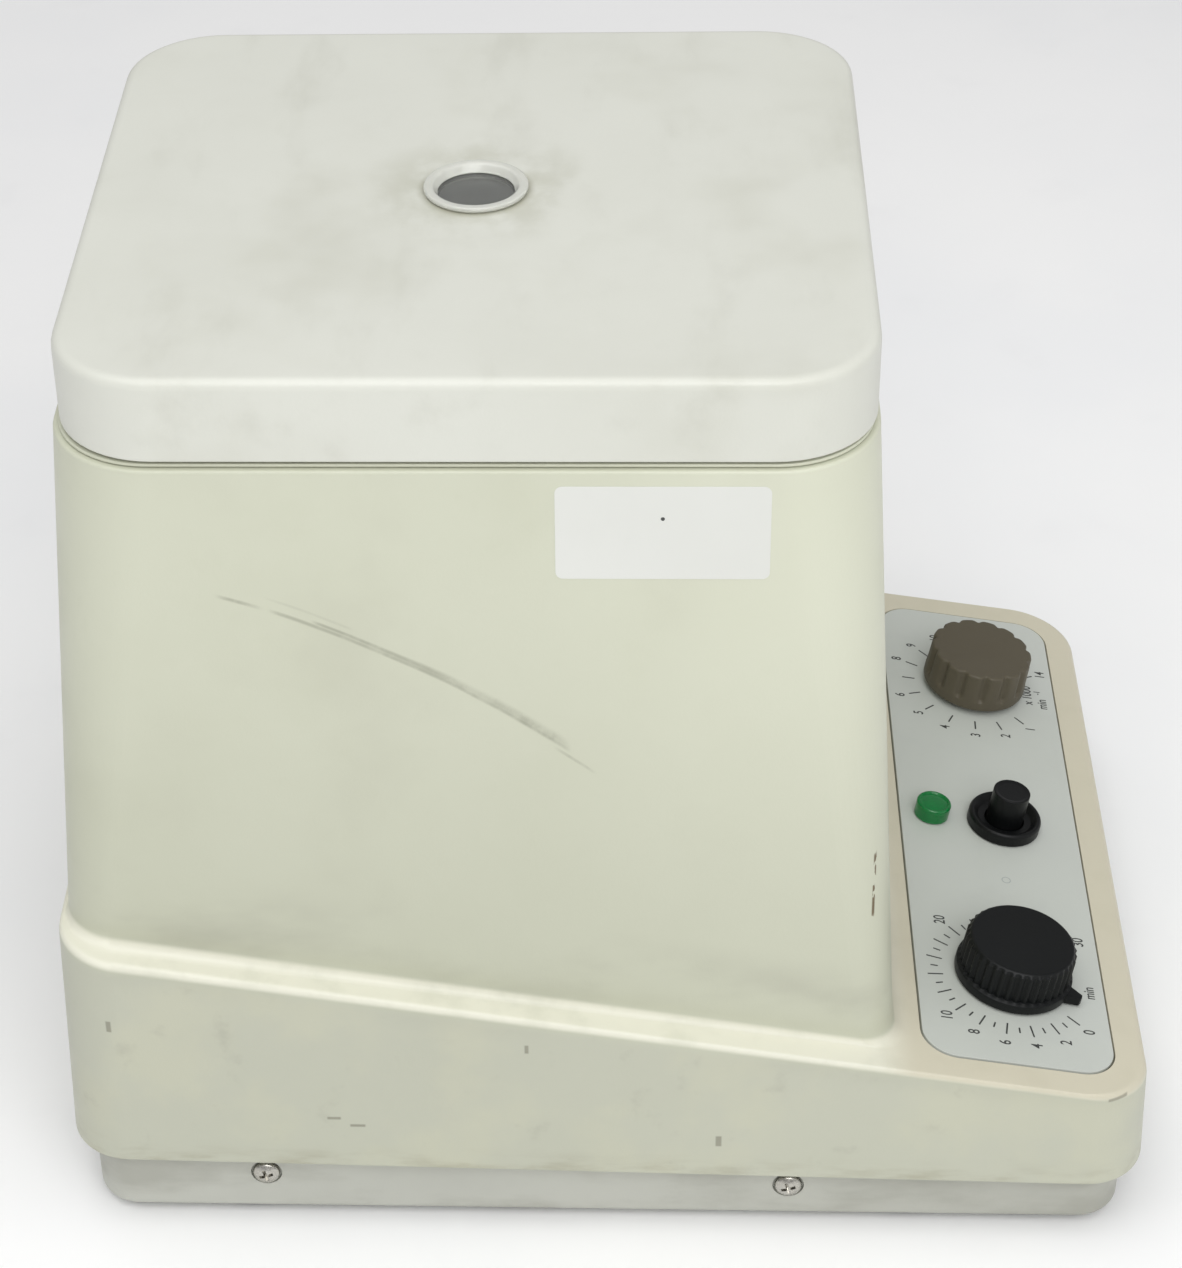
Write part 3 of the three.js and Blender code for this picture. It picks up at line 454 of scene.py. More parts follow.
def ivory():
    """The housing: yellowed moulding with grime low down, painted light and shade on its walls and ledge, a long
    scuff, small marks and chips.
    """
    look = moulded("housing_ivory_look", (202, 204, 185), (194, 196, 175), 0.42, grain=0.03)
    look.patches(40, (182, 182, 164), 0.3, 0.5, 0.8, detail=3, shift=(7, 3, 1))
    above_ledge = height_over(look, LEDGE)
    # Painted light: the walls are lighter towards the front, where more light falls on them.
    look.tint(look.ramp(look.y, 30, -50, 0, 0.6), (215, 217, 198))
    # Painted shade: the walls are darker towards the bottom, where less light falls.
    look.tint(look.ramp(look.z, 70, 210, 0.6, 0), (180, 182, 163))
    base_only = look.ramp(above_ledge, -4, -1, 1, 0)
    look.tint(look.product(base_only, 0.5), (182, 183, 169))
    smear = look.ramp(look.noise(24, detail=4, stretch=(1, 2.5, 1)), 0.42, 0.75)
    foot = in_band(look, above_ledge, 4, 14, 14)
    look.tint(look.product(foot, smear, 0.45), (158, 158, 143))
    ledge = in_band(look, above_ledge, -0.7, 1.2, 1.6)
    # Painted highlight: the ledge's upward face is lighter where the overhead light falls on it.
    look.tint(look.product(ledge, look.ramp(look.noise(15), 0.3, 0.55, 0.7, 1)), (223, 222, 206))
    # Painted shade: the front part of the ledge, which gets less light, is darker.
    look.tint(look.product(ledge, look.ramp(look.y, -68, -80, 0, 0.75)), (199, 192, 170))
    for size, shift, start, strength, colour in [(34, (4, 9, 2), 0.45, 0.28, (201, 200, 174)),
                                                 (13, (1, 3, 5), 0.58, 0.4, (155, 154, 140))]:
        spots = look.ramp(look.noise(size, shift=shift), start, start + 0.2, 0, strength)
        look.tint(look.product(base_only, spots), colour)
    above_edge = height_over(look, EDGE)
    dirt = look.ramp(look.noise(7, detail=5, stretch=(1, 2.5, 0.6)), 0.4, 0.8)
    look.tint(look.product(look.ramp(above_edge, 0.5, 9, 0.55, 0), dirt), (146, 140, 116))
    # The scuff runs down the left wall on a shallow curve of height against depth, and widens as it goes.
    left = look.ramp(look.x, -88, -86, 1, 0)
    curve = look.maths("MULTIPLY_ADD", look.y, look.maths("MULTIPLY_ADD", look.y, -0.0027, 0.792), 145.8)
    wander = look.ramp(look.noise(26, detail=1), 0.2, 0.8, -0.25, 0.25)
    above = look.maths("ADD", look.maths("SUBTRACT", look.z, curve), wander)
    texture = look.ramp(look.noise(11, detail=5, roughness=0.7), 0.32, 0.6, 0.4, 1)
    # Its strokes: how far above the curve, from where to where in depth, half width, strength.
    strokes = [
        (0, (81, 87), 0.8, 0.6),
        (0, (10, 75), 0.85, 0.55),
        (1.1, (10, 65), look.ramp(look.y, 62, 12, 0.7, 2.5), 0.6),
        (-1.9, (4, 9), 0.8, 0.55),
        (3.2, (60, 76), 0.6, 0.16),
    ]
    for offset, span, width, strength in strokes:
        line = look.ramp(look.maths("ABSOLUTE", look.maths("SUBTRACT", above, offset)), 0.1, width, 1, 0)
        rub = look.product(line, left, in_band(look, look.y, *span, 3), texture, strength)
        look.tint(rub, (140, 141, 124))
    # Small marks on the base's left wall: middle and half size in depth and height.
    for y, z, half_y, half_z in [(19.2, 65, 0.25, 1.1), (-29.4, 34, 0.5, 1.5), (69, 40.5, 1.5, 0.2),
                                 (63, 38, 1.7, 0.2), (124.5, 71, 0.4, 1.5), (-129.5, 49, 2.2, 0.2)]:
        across = in_band(look, look.y, y - half_y, y + half_y, 0.5)
        along = in_band(look, look.z, z - half_z, z + half_z, 0.5)
        look.tint(look.product(across, along, left, 0.6), (112, 108, 92))
    # Small chips low on the tower's front left corner.
    corner = look.product(in_band(look, look.z, 101, 117, 2), in_band(look, look.y, -66.5, -66.2, 0.35))
    chips = look.ramp(look.noise(1.7, detail=2, stretch=(1, 1, 2)), 0.5, 0.56)
    look.tint(look.product(chips, corner, left), (104, 88, 62))
    return look.finish()


def lid_white():
    """The lid: cooler and cleaner than the housing, stained round the sight glass."""
    look = moulded("lid_white_look", (214, 215, 206), (207, 208, 198), 0.36, grain=0.03)
    look.patches(48, (190, 190, 176), 0.45, 0.48, 0.8, detail=3, shift=(2, 5, 0))
    look.patches(18, (180, 180, 167), 0.35, 0.5, 0.85, detail=5, stretch=(2.5, 1, 1))
    from_axis = look.node("ShaderNodeVectorMath", operation="DISTANCE")
    flat = look.node("ShaderNodeCombineXYZ")
    look.join(look.x, flat.inputs[0])
    look.join(look.y, flat.inputs[1])
    look.join(flat.outputs[0], from_axis.inputs[0])
    from_axis.inputs[1].default_value = (0, AXIS.y, 0)
    distance = from_axis.outputs["Value"]
    halo = look.ramp(distance, 12, 34, 0.5, 0)
    look.tint(look.product(halo, look.ramp(look.noise(14, detail=5), 0.35, 0.65)), (176, 176, 158))
    look.tint(look.ramp(distance, 12.6, 15, 0.5, 0), (150, 148, 128))
    return look.finish()


def pan_grey():
    """The base pan: dull grey moulding, scuffed near the bench, with painted shade towards the front."""
    look = moulded("pan_grey_look", (187, 188, 179), (176, 177, 168), 0.5, grain=0.03)
    smear = look.ramp(look.noise(16, detail=5, stretch=(1, 3, 1)), 0.44, 0.7)
    look.tint(look.product(smear, look.ramp(look.z, 4, 16, 0.6, 0.45)), (146, 145, 134))
    # Painted shade: darker towards the front, which gets less light.
    look.tint(look.ramp(look.y, 20, -120, 0, 0.3), (160, 160, 150))
    return look.finish()


def panel_grey():
    look = moulded("panel_grey_look", (195, 199, 193), (188, 192, 185), 0.42, grain=0.012)
    look.patches(12, (186, 190, 186), 0.3, 0.55, 0.8, detail=6)
    return look.finish()


def lamp_green():
    return moulded("lamp_green_look", (2, 150, 72), (2, 118, 56), 0.13, grain=0.01,
                   IOR=1.5, Transmission_Weight=0.5).finish()


def clear_plastic():
    look = Look("clear_plastic_look", (240, 242, 238), 0.06, IOR=1.49, Transmission_Weight=0.92)
    look.patches(7, (222, 222, 210), 0.5, 0.5, 0.8, detail=5)
    look.roughen(look.ramp(look.noise(5, detail=4), 0.45, 0.75, 0, 0.12))
    look.raise_by(look.noise(6, detail=2), 0.02)
    return look.finish()


def rubber():
    return moulded("rubber_black_look", (34, 34, 34), (46, 46, 44), 0.75, grain=0.04).finish()


def circuit_board():
    look = Look("circuit_board_look", (38, 98, 58), 0.4)
    look.patches(3, (60, 132, 84), 0.8, 0.52, 0.56, detail=1, stretch=(4, 1, 1))
    look.patches(2, (190, 190, 180), 0.9, 0.68, 0.7, detail=0)
    look.raise_by(look.noise(2, detail=2), 0.05)
    return look.finish()


looks = {
    "housing_ivory": ivory(),
    "lid_white": lid_white(),
    "pan_grey": pan_grey(),
    "panel_grey": panel_grey(),
    "knob_taupe": moulded(
        "knob_taupe_look", (88, 82, 68), (79, 73, 60), 0.5, Specular_IOR_Level=0.3).finish(),
    "knob_black": moulded(
        "knob_black_look", (8, 10, 11), (14, 17, 18), 0.4, Specular_IOR_Level=0.25).finish(),
    "lamp_green": lamp_green(),
    "clear_plastic": clear_plastic(),
    "rubber_black": rubber(),
    "steel_sheet": metal("steel_sheet_look", (196, 198, 200), (170, 168, 160), 0.32, (1, 1, 12)).finish(),
    "steel_dark": metal("steel_dark_look", (112, 114, 118), (84, 84, 84), 0.45).finish(),
    "rotor_alloy": metal("rotor_alloy_look", (204, 206, 208), (180, 182, 184), 0.3, (1, 1, 0.2)).finish(),
    "winding_copper": metal(
        "winding_copper_look", (170, 98, 50), (120, 66, 34), 0.4, (1, 1, 0.3)).finish(),
    "circuit_board": circuit_board(),
    "screw_nickel": metal("screw_nickel_look", (196, 194, 188), (140, 134, 118), 0.28).finish(),
}
ink = moulded("ink_look", (58, 60, 58), (74, 76, 74), 0.5, grain=0.004).finish()
faded_ink = moulded("faded_ink_look", (168, 174, 172), (180, 185, 184), 0.5, grain=0.004).finish()
sticker = moulded("sticker_look", (219, 220, 215), (213, 214, 208), 0.5, grain=0.01).finish()
frosted = moulded("frosted_clear_look", (250, 251, 244), (238, 238, 226), 0.12, grain=0.005, IOR=1.49,
                  Transmission_Weight=0.5).finish()


# ---------- housing ----------
def base_outline(z, inset):
    depth = BASE_HALF_DEPTH - inset
    half = BASE_HALF_WIDTH - inset - BASE_SIDE_DRAFT * (z - EDGE_FRONT)
    front = -depth + BASE_END_DRAFT * (z - EDGE_FRONT)
    rear = depth - BASE_END_DRAFT * (z - EDGE_REAR)
    return rounded_box(-half, half, front, rear, BASE_CORNER - inset)


def tower_outline(z, inset):
    drop = TOWER_TOP - z
    half = TOWER_HALF_WIDTH - inset + TOWER_SIDE_DRAFT * drop
    front = TOWER_FRONT + inset - TOWER_END_DRAFT * drop
    rear = TOWER_REAR - inset + TOWER_END_DRAFT * drop
    return rounded_box(-half, half, front, rear, TOWER_CORNER - inset - TOWER_CORNER_TAPER * drop)


def inset_box(low, high, corner, inset):
    return rounded_box(low.x + inset, high.x - inset, low.y + inset, high.y - inset, corner - inset)


def at_height(outline, z, inset):
    return [Vector((p.x, p.y, z)) for p in outline(z, inset)]


def on_plane(outline, inset, plane, drop=0.0):
    """Where a drafted wall meets the plane z = a + b * y, lowered by drop."""
    low, high = at_height(outline, 0, inset), at_height(outline, 100, inset)
    met = []
    for p, q in zip(low, high):
        lean = (q.y - p.y) / 100
        z = (plane[0] - drop + plane[1] * p.y) / (1 - plane[1] * lean)
        met.append(p.lerp(q, z / 100))
    return met


def columns_through(rings, radii, steps=5):
    """Columns of points up the rings, with each ring's corner rounded by its radius."""
    return [round_off([ring[i] for ring in rings], radii, steps) for i in range(len(rings[0]))]


def ringed(rings_and_radii, steps=5):
    """A skin up a pile of rings, rounded at each ring by that ring's radius."""
    mesh = bmesh.new()
    rings, radii = zip(*rings_and_radii)
    skin(mesh, columns_through(rings, radii, steps))
    return mesh


STRIP_INSET = 1.3  # the strip round the tower's top, under the lid
STRIP_WIDTH = 2.6
RIM_ROUND = 2.4  # the ledge's outer rim
FOOT_ROUND = 4.5  # where the tower grows out of the ledge


def housing_skin():
    return ringed([
        (at_height(tower_outline, TOWER_TOP - HOUSING_WALL, HOUSING_WALL), 0),
        (on_plane(tower_outline, HOUSING_WALL, LEDGE, LEDGE_WALL), 1),
        (on_plane(base_outline, HOUSING_WALL, LEDGE, LEDGE_WALL), 1),
        (on_plane(base_outline, HOUSING_WALL, EDGE), 0.4),
        (on_plane(base_outline, 0, EDGE), 0.9),
        (on_plane(base_outline, 0, LEDGE), RIM_ROUND),
        (on_plane(tower_outline, 0, LEDGE), FOOT_ROUND),
        (at_height(tower_outline, TOWER_TOP, 0), 0.8),
        (at_height(tower_outline, TOWER_TOP, STRIP_INSET + STRIP_WIDTH), 0),
    ])


def facing_rear(rear):
    """A frame at a depth, looking forward: its X and Y are the machine's X and Z."""
    return placed((0, rear, 0), math.pi / 2, "X")


def tube(mesh, radius, low, high, centre=(0, 0), steps=64, place=NOWHERE):
    slab(mesh, [circle(radius, steps, centre)], low, high, 0, place)


def capsule(x, y0, y1, width):
    return rounded_box(x - width / 2, x + width / 2, y0, y1, width / 2 - 0.01, 6)


def panel_outline(room):
    low, high = box("control_plate")
    half = (high.y - low.y - PLATE_THICK * math.sin(slope)) / math.cos(slope) / 2 + room
    return rounded_box(low.x - room, high.x + room, -half, half, PLATE_CORNER + room)


PANEL_HOLES = [(TIMER, 5), (SPEED, 5), (LAMP, 4.2), (BUTTON, 7.6)]
VENT_COUNT = 9
VENT_PITCH = 8
VENT_WIDTH = 3
VENT_SPAN = (106, 150)


def build_housing():
    made = object_from("housing_shell", housing_skin())
    striker_low, striker_high = box("lid_striker")
    slot_outline = rounded_box(-4, 4, striker_low.y - 1.6, striker_high.y + 0.7, 1.2, 5)
    for outline in (plate_outline(GAP), slot_outline):
        opening = bmesh.new()
        slab(opening, [outline], TOWER_TOP - 12, TOWER_TOP + 8, 0)
        cut(made, opening)
    rear = bmesh.new()
    plate_low, plate_high = box("rear_plate")
    behind = facing_rear(BASE_HALF_DEPTH + 5)
    window = rounded_box(plate_low.x + 6, plate_high.x - 6, plate_low.z + 2, plate_high.z - 2, 3, 6)
    slab(rear, [window], 0, 25, 0, behind)
    for i in range(VENT_COUNT):
        x = (i - (VENT_COUNT - 1) / 2) * VENT_PITCH
        slab(rear, [capsule(x, *VENT_SPAN, VENT_WIDTH)], 0, 25, 0, behind)
    cut(made, rear)
    recess = bmesh.new()
    slab(recess, [panel_outline(0.5)], PLATE_PROUD - PLATE_THICK - GAP, 10, 0, PANEL)
    cut(made, recess)
    holes = bmesh.new()
    for centre, radius in PANEL_HOLES:
        tube(holes, radius, -12, 5, centre, 48, PANEL)
    cut(made, holes)
    dress(made, "housing")


def plate_outline(room):
    low, high = box("chamber_plate")
    return rounded_box(low.x - room, high.x + room, low.y - room, high.y + room, 3 + room, 6)


def build_chamber_plate():
    low, high = box("chamber_plate")
    mesh = bmesh.new()
    bowl_room = circle(box("chamber_bowl")[1].x - 2.5, 128, (0, AXIS.y))
    slab(mesh, [plate_outline(0), bowl_room], low.z, high.z, 0.3)
    dress(object_from("chamber_deck", mesh), "chamber_plate")


def build_tower_strip():
    low, high = box("tower_rim")
    outer, inner = STRIP_INSET, STRIP_INSET + STRIP_WIDTH
    centre = (outer + inner) / 2
    corners = [(low.z, centre), (low.z, outer), (high.z, outer), (high.z, inner), (low.z, inner)]
    rings = [at_height(tower_outline, z, inset) for z, inset in corners + corners[:1]]
    columns = [column[:-1] for column in columns_through(rings, [0.3] * len(rings))]
    mesh = bmesh.new()
    skin(mesh, columns, wrap_path=True)
    dress(object_from("tower_rim_strip", mesh), "tower_rim")


build_housing()
build_chamber_plate()
build_tower_strip()


# ---------- lid ----------
def lid_outline(_, inset):
    return inset_box(LID_LOW, LID_HIGH, LID_CORNER, inset)


SIGHT_TUBE = 10.9


def build_lid():
    made = object_from("lid_cover", ringed([
        (at_height(lid_outline, LID_HIGH.z - LID_WALL, LID_WALL + 3), 0),
        (at_height(lid_outline, LID_HIGH.z - LID_WALL, LID_WALL), 2),
        (at_height(lid_outline, LID_LOW.z, LID_WALL), 0.4),
        (at_height(lid_outline, LID_LOW.z, 0), 0.6),
        (at_height(lid_outline, LID_HIGH.z, 0), 3.4),
        (at_height(lid_outline, LID_HIGH.z, 6), 0),
    ], 7))
    hole = bmesh.new()
    tube(hole, SIGHT_TUBE + GAP, LID_HIGH.z - 12, LID_HIGH.z + 8, (0, AXIS.y), 96)
    cut(made, hole)
    dress(made, "lid_shell")


def build_liner():
    low, high = box("lid_liner")
    outline = rounded_box(low.x, high.x, low.y, high.y, LID_CORNER - LID_WALL - 0.5)
    mesh = bmesh.new()
    slab(mesh, [outline, circle(SIGHT_TUBE + GAP, 64, (0, AXIS.y))], low.z, high.z, 0.5)
    dress(object_from("lid_lining", mesh), "lid_liner")


def build_sight_glass():
    low, high = box("sight_glass")
    window_top = high.z - 2.3
    seat = LID_HIGH.z + GAP
    window = [(0, window_top), (SIGHT_TUBE, window_top), (SIGHT_TUBE, low.z), (SIGHT_TUBE - 1.5, low.z),
              (SIGHT_TUBE - 1.5, window_top - 2), (0, window_top - 2)]
    build_turned("sight_window", "sight_glass", window, 0.45, 96)
    ring = [(9.2, window_top + 0.05), (SIGHT_TUBE + 0.1, window_top + 0.05), (SIGHT_TUBE + 0.1, seat),
            (high.x, seat), (high.x, high.z), (10.7, high.z)]
    build_turned("sight_ring", "sight_glass", ring, 0.7, 96, True,
                 ease_steps=6, look=frosted, stands_for=False)


def build_striker():
    low, high = box("lid_striker")
    bolt = middle("latch_bolt")
    mesh = bmesh.new()
    flange = [rounded_box(low.x, high.x, low.y, high.y, 1.5, 5)]
    slab(mesh, flange, high.z - 1.6, high.z, 0.3)
    # The blade is upright in the plane of Y and Z, with the bolt's hole through it.
    upright = Matrix.Rotation(math.pi / 2, 4, "Z") @ Matrix.Rotation(math.pi / 2, 4, "X")
    blade = rounded_box(low.y, high.y, low.z, high.z - 1, 1.2, 5)
    slab(mesh, [blade, circle(2.6, 32, (bolt.y, bolt.z))], -1.5, 1.5, 0.3, upright)
    for x in (-5.2, 5.2):
        head = rounded_profile([(0, 0.6), (1.5, 0.4), (1.5, 0), (0, 0)], 0.2)
        place = placed((x, middle("lid_striker").y, high.z - 1.6), math.pi, "X")
        turned(mesh, head, steps=24, place=place)
    dress(object_from("lid_catch", mesh), "lid_striker")


build_lid()
build_liner()
build_sight_glass()
build_striker()


# ---------- base pan, feet and screws ----------
def pan_outline(_, inset):
    return inset_box(PAN_LOW, PAN_HIGH, PAN_CORNER, inset)


SCREWS = sorted(node for node in frame["nodes"] if node.startswith("housing_screw"))
HEAD = 2.5  # thickness of a screw's head
POCKET = 4.1  # radius of the hollow round it


def screw_frame(node):
    """A frame with Z out of the machine's side, at the seat of a housing screw's head."""
    low, high = box(node)
    centre = middle(node)
    side = math.copysign(1, centre.x)
    outer = high.x if side > 0 else -low.x
    return placed((side * (outer - HEAD), centre.y, centre.z), side * math.pi / 2, "Y")


def build_pan():
    floor = PAN_LOW.z + PAN_WALL
    made = object_from("pan_shell", ringed([
        (at_height(pan_outline, floor, 9), 0),
        (at_height(pan_outline, floor, PAN_WALL), 3),
        (at_height(pan_outline, PAN_HIGH.z, PAN_WALL), 0.4),
        (at_height(pan_outline, PAN_HIGH.z, 0), 0.4),
        (at_height(pan_outline, PAN_LOW.z, 0), 2.2),
        (at_height(pan_outline, PAN_LOW.z, 9), 0),
    ], 7))
    openings = bmesh.new()
    for i in range(-3, 4):
        slab(openings, [capsule(i * 9, AXIS.y - 25, AXIS.y + 25, 3.2)], PAN_LOW.z - 3, floor + 5, 0)
    cut(made, openings)
    holes = bmesh.new()
    for node in SCREWS:
        turned(holes, [(0, -9), (2.3, -9), (2.3, -GAP), (POCKET, -GAP), (POCKET, 4), (0, 4)], steps=48,
               place=screw_frame(node))
    cut(made, holes)
    dress(made, "base_pan")


def build_feet():
    for node in [node for node in frame["nodes"] if node.startswith("foot_")]:
        low, high = box(node)
        radius = (high.x - low.x) / 2
        profile = [(0, low.z), (radius - 0.8, low.z), (radius, 0.9), (radius - 0.4, high.z), (0, high.z)]
        build_turned(f"rubber_{node}", node, profile, steps=48, centre=middle(node))


def cross_recess(reach, width, depth, place):
    """A tapering cross to cut into a screw's head."""
    mesh = bmesh.new()
    half = width / 2
    quarter = [(reach, -half), (reach, half), (half, half)]
    rings = []
    for scale, z in [(1.1, 0.5), (1, 0), (0.35, -depth)]:
        ring = []
        for turn in range(4):
            for x, y in quarter:
                point = Vector((x * scale if x > half else x, y, z))
                ring.append(Matrix.Rotation(turn * math.pi / 2, 4, "Z") @ point)
        rings.append(ring)
    skin(mesh, [[ring[i] for ring in rings] for i in range(len(rings[0]))])
    mesh.transform(place)
    return mesh


def build_screws():
    for node in SCREWS:
        place = screw_frame(node)
        radius = (box(node)[1].y - box(node)[0].y) / 2
        mesh = bmesh.new()
        turned(mesh, rounded_profile([
            (0, -12), (2, -12), (2, 0), (radius, 0), (radius, 1.5), (radius * 0.45, HEAD), (0, HEAD),
        ], 0.8, steps=6), steps=64, place=place)
        made = object_from(f"cross_{node}", mesh)
        tip = place @ placed((0, 0, HEAD), 0.3, "Z")
        cut(made, cross_recess(2.1, 0.95, 1.6, tip))
        dress(made, node)


build_pan()
build_feet()
build_screws()


# ---------- hinge ----------
KNUCKLES = 5
KNUCKLE = 2.1  # outer radius
SHEET = 1.2
HINGE_SCREWS = (-28, 0, 28)


def build_hinge():
    pin_low, pin_high = box("hinge_pin")
    pin = middle("hinge_pin")
    half = pin_high.x - 1
    pin_radius = (pin_high.z - pin_low.z) / 2
    length = 2 * half / KNUCKLES
    along_x = placed((0, pin.y, pin.z), math.pi / 2, "Y")
    body_sheet, lid_sheet = pin.y - 0.9, LID_HIGH.y + GAP
    body_heights = (box("hinge_body_leaf")[0].z, TOWER_TOP - 2.9)
    lid_heights = (LID_LOW.z + 0.55, box("hinge_lid_leaf")[1].z)
    body_web = (TOWER_TOP - 3.4, pin.z - 1.5)
    lid_web = (LID_LOW.z + 0.45, pin.z + 2)
    leaves = [
        ("hinge_body_leaf", 0, body_sheet, body_heights, body_sheet + SHEET, body_web),
        ("hinge_lid_leaf", 1, lid_sheet, lid_heights, pin.y, lid_web),
    ]
    for node, first, inner, heights, outer, web_heights in leaves:
        mesh = bmesh.new()
        upright = facing_rear(inner + SHEET)
        level = sum(heights) / 2
        holes = [circle(1.7, 24, (x, level)) for x in HINGE_SCREWS]
        slab(mesh, [rounded_box(-half, half, *heights, 2, 5)] + holes, 0, SHEET, 0.3, upright)
        for x in HINGE_SCREWS:
            head = rounded_profile([(0, -0.6), (2.6, -0.2), (2.6, 0.2), (0, 0.5)], 0.2)
            turned(mesh, head, (x, level), 32, place=upright)
        for i in range(first, KNUCKLES, 2):
            start = -half + i * length + 0.2
            end = start + length - 0.4
            barrel = rounded_profile([(pin_radius + 0.25, start), (KNUCKLE, start), (KNUCKLE, end),
                                      (pin_radius + 0.25, end)], 0.25, ring=True)
            turned(mesh, barrel, steps=40, ring=True, place=along_x)
            block(mesh, ((start, end), (inner, outer), web_heights), 0.2, 0.15)
        dress(object_from(f"{node}_sheet", mesh), node)
    profile = [(0, pin_low.x), (pin_radius, pin_low.x), (pin_radius, pin_high.x), (0, pin_high.x)]
    build_turned("hinge_pin_rod", "hinge_pin", profile, steps=32, centre=(0, 0), place=along_x)


build_hinge()


# ---------- chamber and rotor ----------
def build_chamber():
    low, high = box("chamber_bowl")
    flange = high.x
    inner = flange - 5
    outer = inner + 1.5
    neck = 20
    build_turned("chamber_drum", "chamber_bowl", [
        (neck, low.z), (outer - 6.5, low.z), (outer, low.z + 6.5), (outer, high.z - 1.3),
        (flange, high.z - 1.3), (flange, high.z), (inner, high.z), (inner, low.z + 7.5),
        (inner - 6, low.z + 1.5), (neck, low.z + 1.5),
    ], 1.2, ring=True)
    low, high = box("lid_gasket")
    inner = high.x - 4.5
    build_turned("lid_seal", "lid_gasket", [
        (inner, low.z + 0.6), (inner + 2.2, low.z), (high.x, low.z + 0.6), (high.x, high.z),
        (inner, high.z),
    ], 0.8, ring=True)


TUBES = 18


def build_rotor():
    low, high = box("rotor")
    mesh = bmesh.new()
    profile = rounded_profile([
        (4.3, 188), (14, 188), (22, 192), (56, 182), (68, 184), (71, 190), (71, 195.5), (46, 220.8),
        (43.3, 218.8), (31, 206.5), (4.3, 206),
    ], 0.8, ring=True)
    turned(mesh, profile, (0, AXIS.y), 144, True)
    made = object_from("rotor_body", mesh)
    holes = bmesh.new()
    pocket = rounded_profile([(0, -37), (3, -37), (5.6, -24), (5.6, 12), (0, 12)], 2)
    for i in range(TUBES):
        round_axis = placed((0, AXIS.y, 0), 2 * math.pi * i / TUBES, "Z")
        turned(holes, pocket, steps=40, place=round_axis @ placed((38, 0, 213.5), -math.pi / 4, "Y"))
    cut(made, holes)
    dress(made, "rotor")
    low, high = box("rotor_lid")
    build_turned("rotor_cover", "rotor_lid", [
        (0, low.z), (7, low.z), (7, 221.3), (47, 221.3), (47.5, 222.2), (46, 223.8), (9.5, 223.8),
        (8, 225), (7.4, high.z - 0.6), (6.6, high.z), (0, high.z),
    ], 0.5)
    low, high = box("rotor_nut")
    mesh = bmesh.new()
    hexagon = circle(9, 6, (0, AXIS.y))
    slab(mesh, [hexagon, circle(4.3, 32, (0, AXIS.y))], low.z, high.z, 0.5)
    dress(object_from("rotor_hex_nut", mesh), "rotor_nut")


build_chamber()
build_rotor()


# ---------- control panel ----------
def build_plate():
    mesh = bmesh.new()
    holes = [circle(radius, 48, centre) for centre, radius in
             [(TIMER, 4.4), (SPEED, 4.4), (LAMP, 3.6), (BUTTON, 7)]]
    slab(mesh, [panel_outline(0)] + holes, PLATE_PROUD - PLATE_THICK, PLATE_PROUD, 0.22, PANEL)
    dress(object_from("control_fascia", mesh), "control_plate")


def fluted(mesh, centre, levels, waves, narrow, per_wave):
    """A knob on the panel from (radius, height, flute depth) levels; narrow slims the flutes."""
    count = waves * per_wave
    columns = []
    for i in range(count):
        angle = 2 * math.pi * i / count
        flute = (0.5 + 0.5 * math.cos(waves * angle)) ** narrow
        columns.append([Vector((
            centre.x + (radius - depth * flute) * math.cos(angle),
            centre.y + (radius - depth * flute) * math.sin(angle),
            height,
        )) for radius, height, depth in levels])
    made = bmesh.new()
    skin(made, columns)
    merge(mesh, made, PANEL)


TIMER_REST = 244  # degrees: where the timer's pointer rests, short of its scale's start
TIMER_ZERO, MINUTE = 226.5, 9.18  # degrees: where its scale starts, and for a minute
SPEED_ZERO, THOUSAND = 244.6, 22.1  # the same for the speed's scale, and for 1000 turns


def build_timer_knob():
    mesh = bmesh.new()
    levels = [
        (3.3, 10, 0), (3.3, 1.2, 0), (3.6, 0.9, 0), (15, 0.9, 0), (15.3, 1.1, 0), (15.4, 1.5, 0),
        (15.4, 3.2, 0), (15.3, 3.6, 0), (14.9, 3.9, 0.2), (14.6, 4.1, 0.7), (14.5, 11.9, 0.7),
        (14.3, 12.2, 0.6), (13.8, 12.7, 0.1), (13.6, 12.95, 0), (13.3, 13.15, 0), (12.9, 13.2, 0),
        (3, 13.15, 0),
    ]
    fluted(mesh, TIMER, levels, 38, 1, 8)
    place = PANEL @ placed(TIMER.to_3d(), math.radians(TIMER_REST), "Z")
    wedge = [Vector(p) for p in [(13.5, -2.9), (18.8, -0.9), (19, 0), (18.8, 0.9), (13.5, 2.9)]]
    slab(mesh, [wedge], 0.95, 3.5, 0.3, place)
    dress(object_from("timer_grip", mesh), "timer_knob")


def build_speed_knob():
    mesh = bmesh.new()
    levels = [
        (3.3, 11, 0), (3.3, 2.6, 0), (3.6, 2.3, 0), (14.3, 2.3, 0), (14.65, 2.45, 0), (14.8, 2.9, 0),
        (14.8, 5, 0), (14.78, 5.6, 0.6), (14.75, 6.4, 1), (14.6, 13.2, 1), (14.45, 13.7, 1),
        (14.1, 13.95, 1), (13.6, 14, 0.95), (4, 13.95, 0),
    ]
    fluted(mesh, SPEED, levels, 14, 3.5, 20)
    dress(object_from("speed_grip", mesh), "speed_knob")


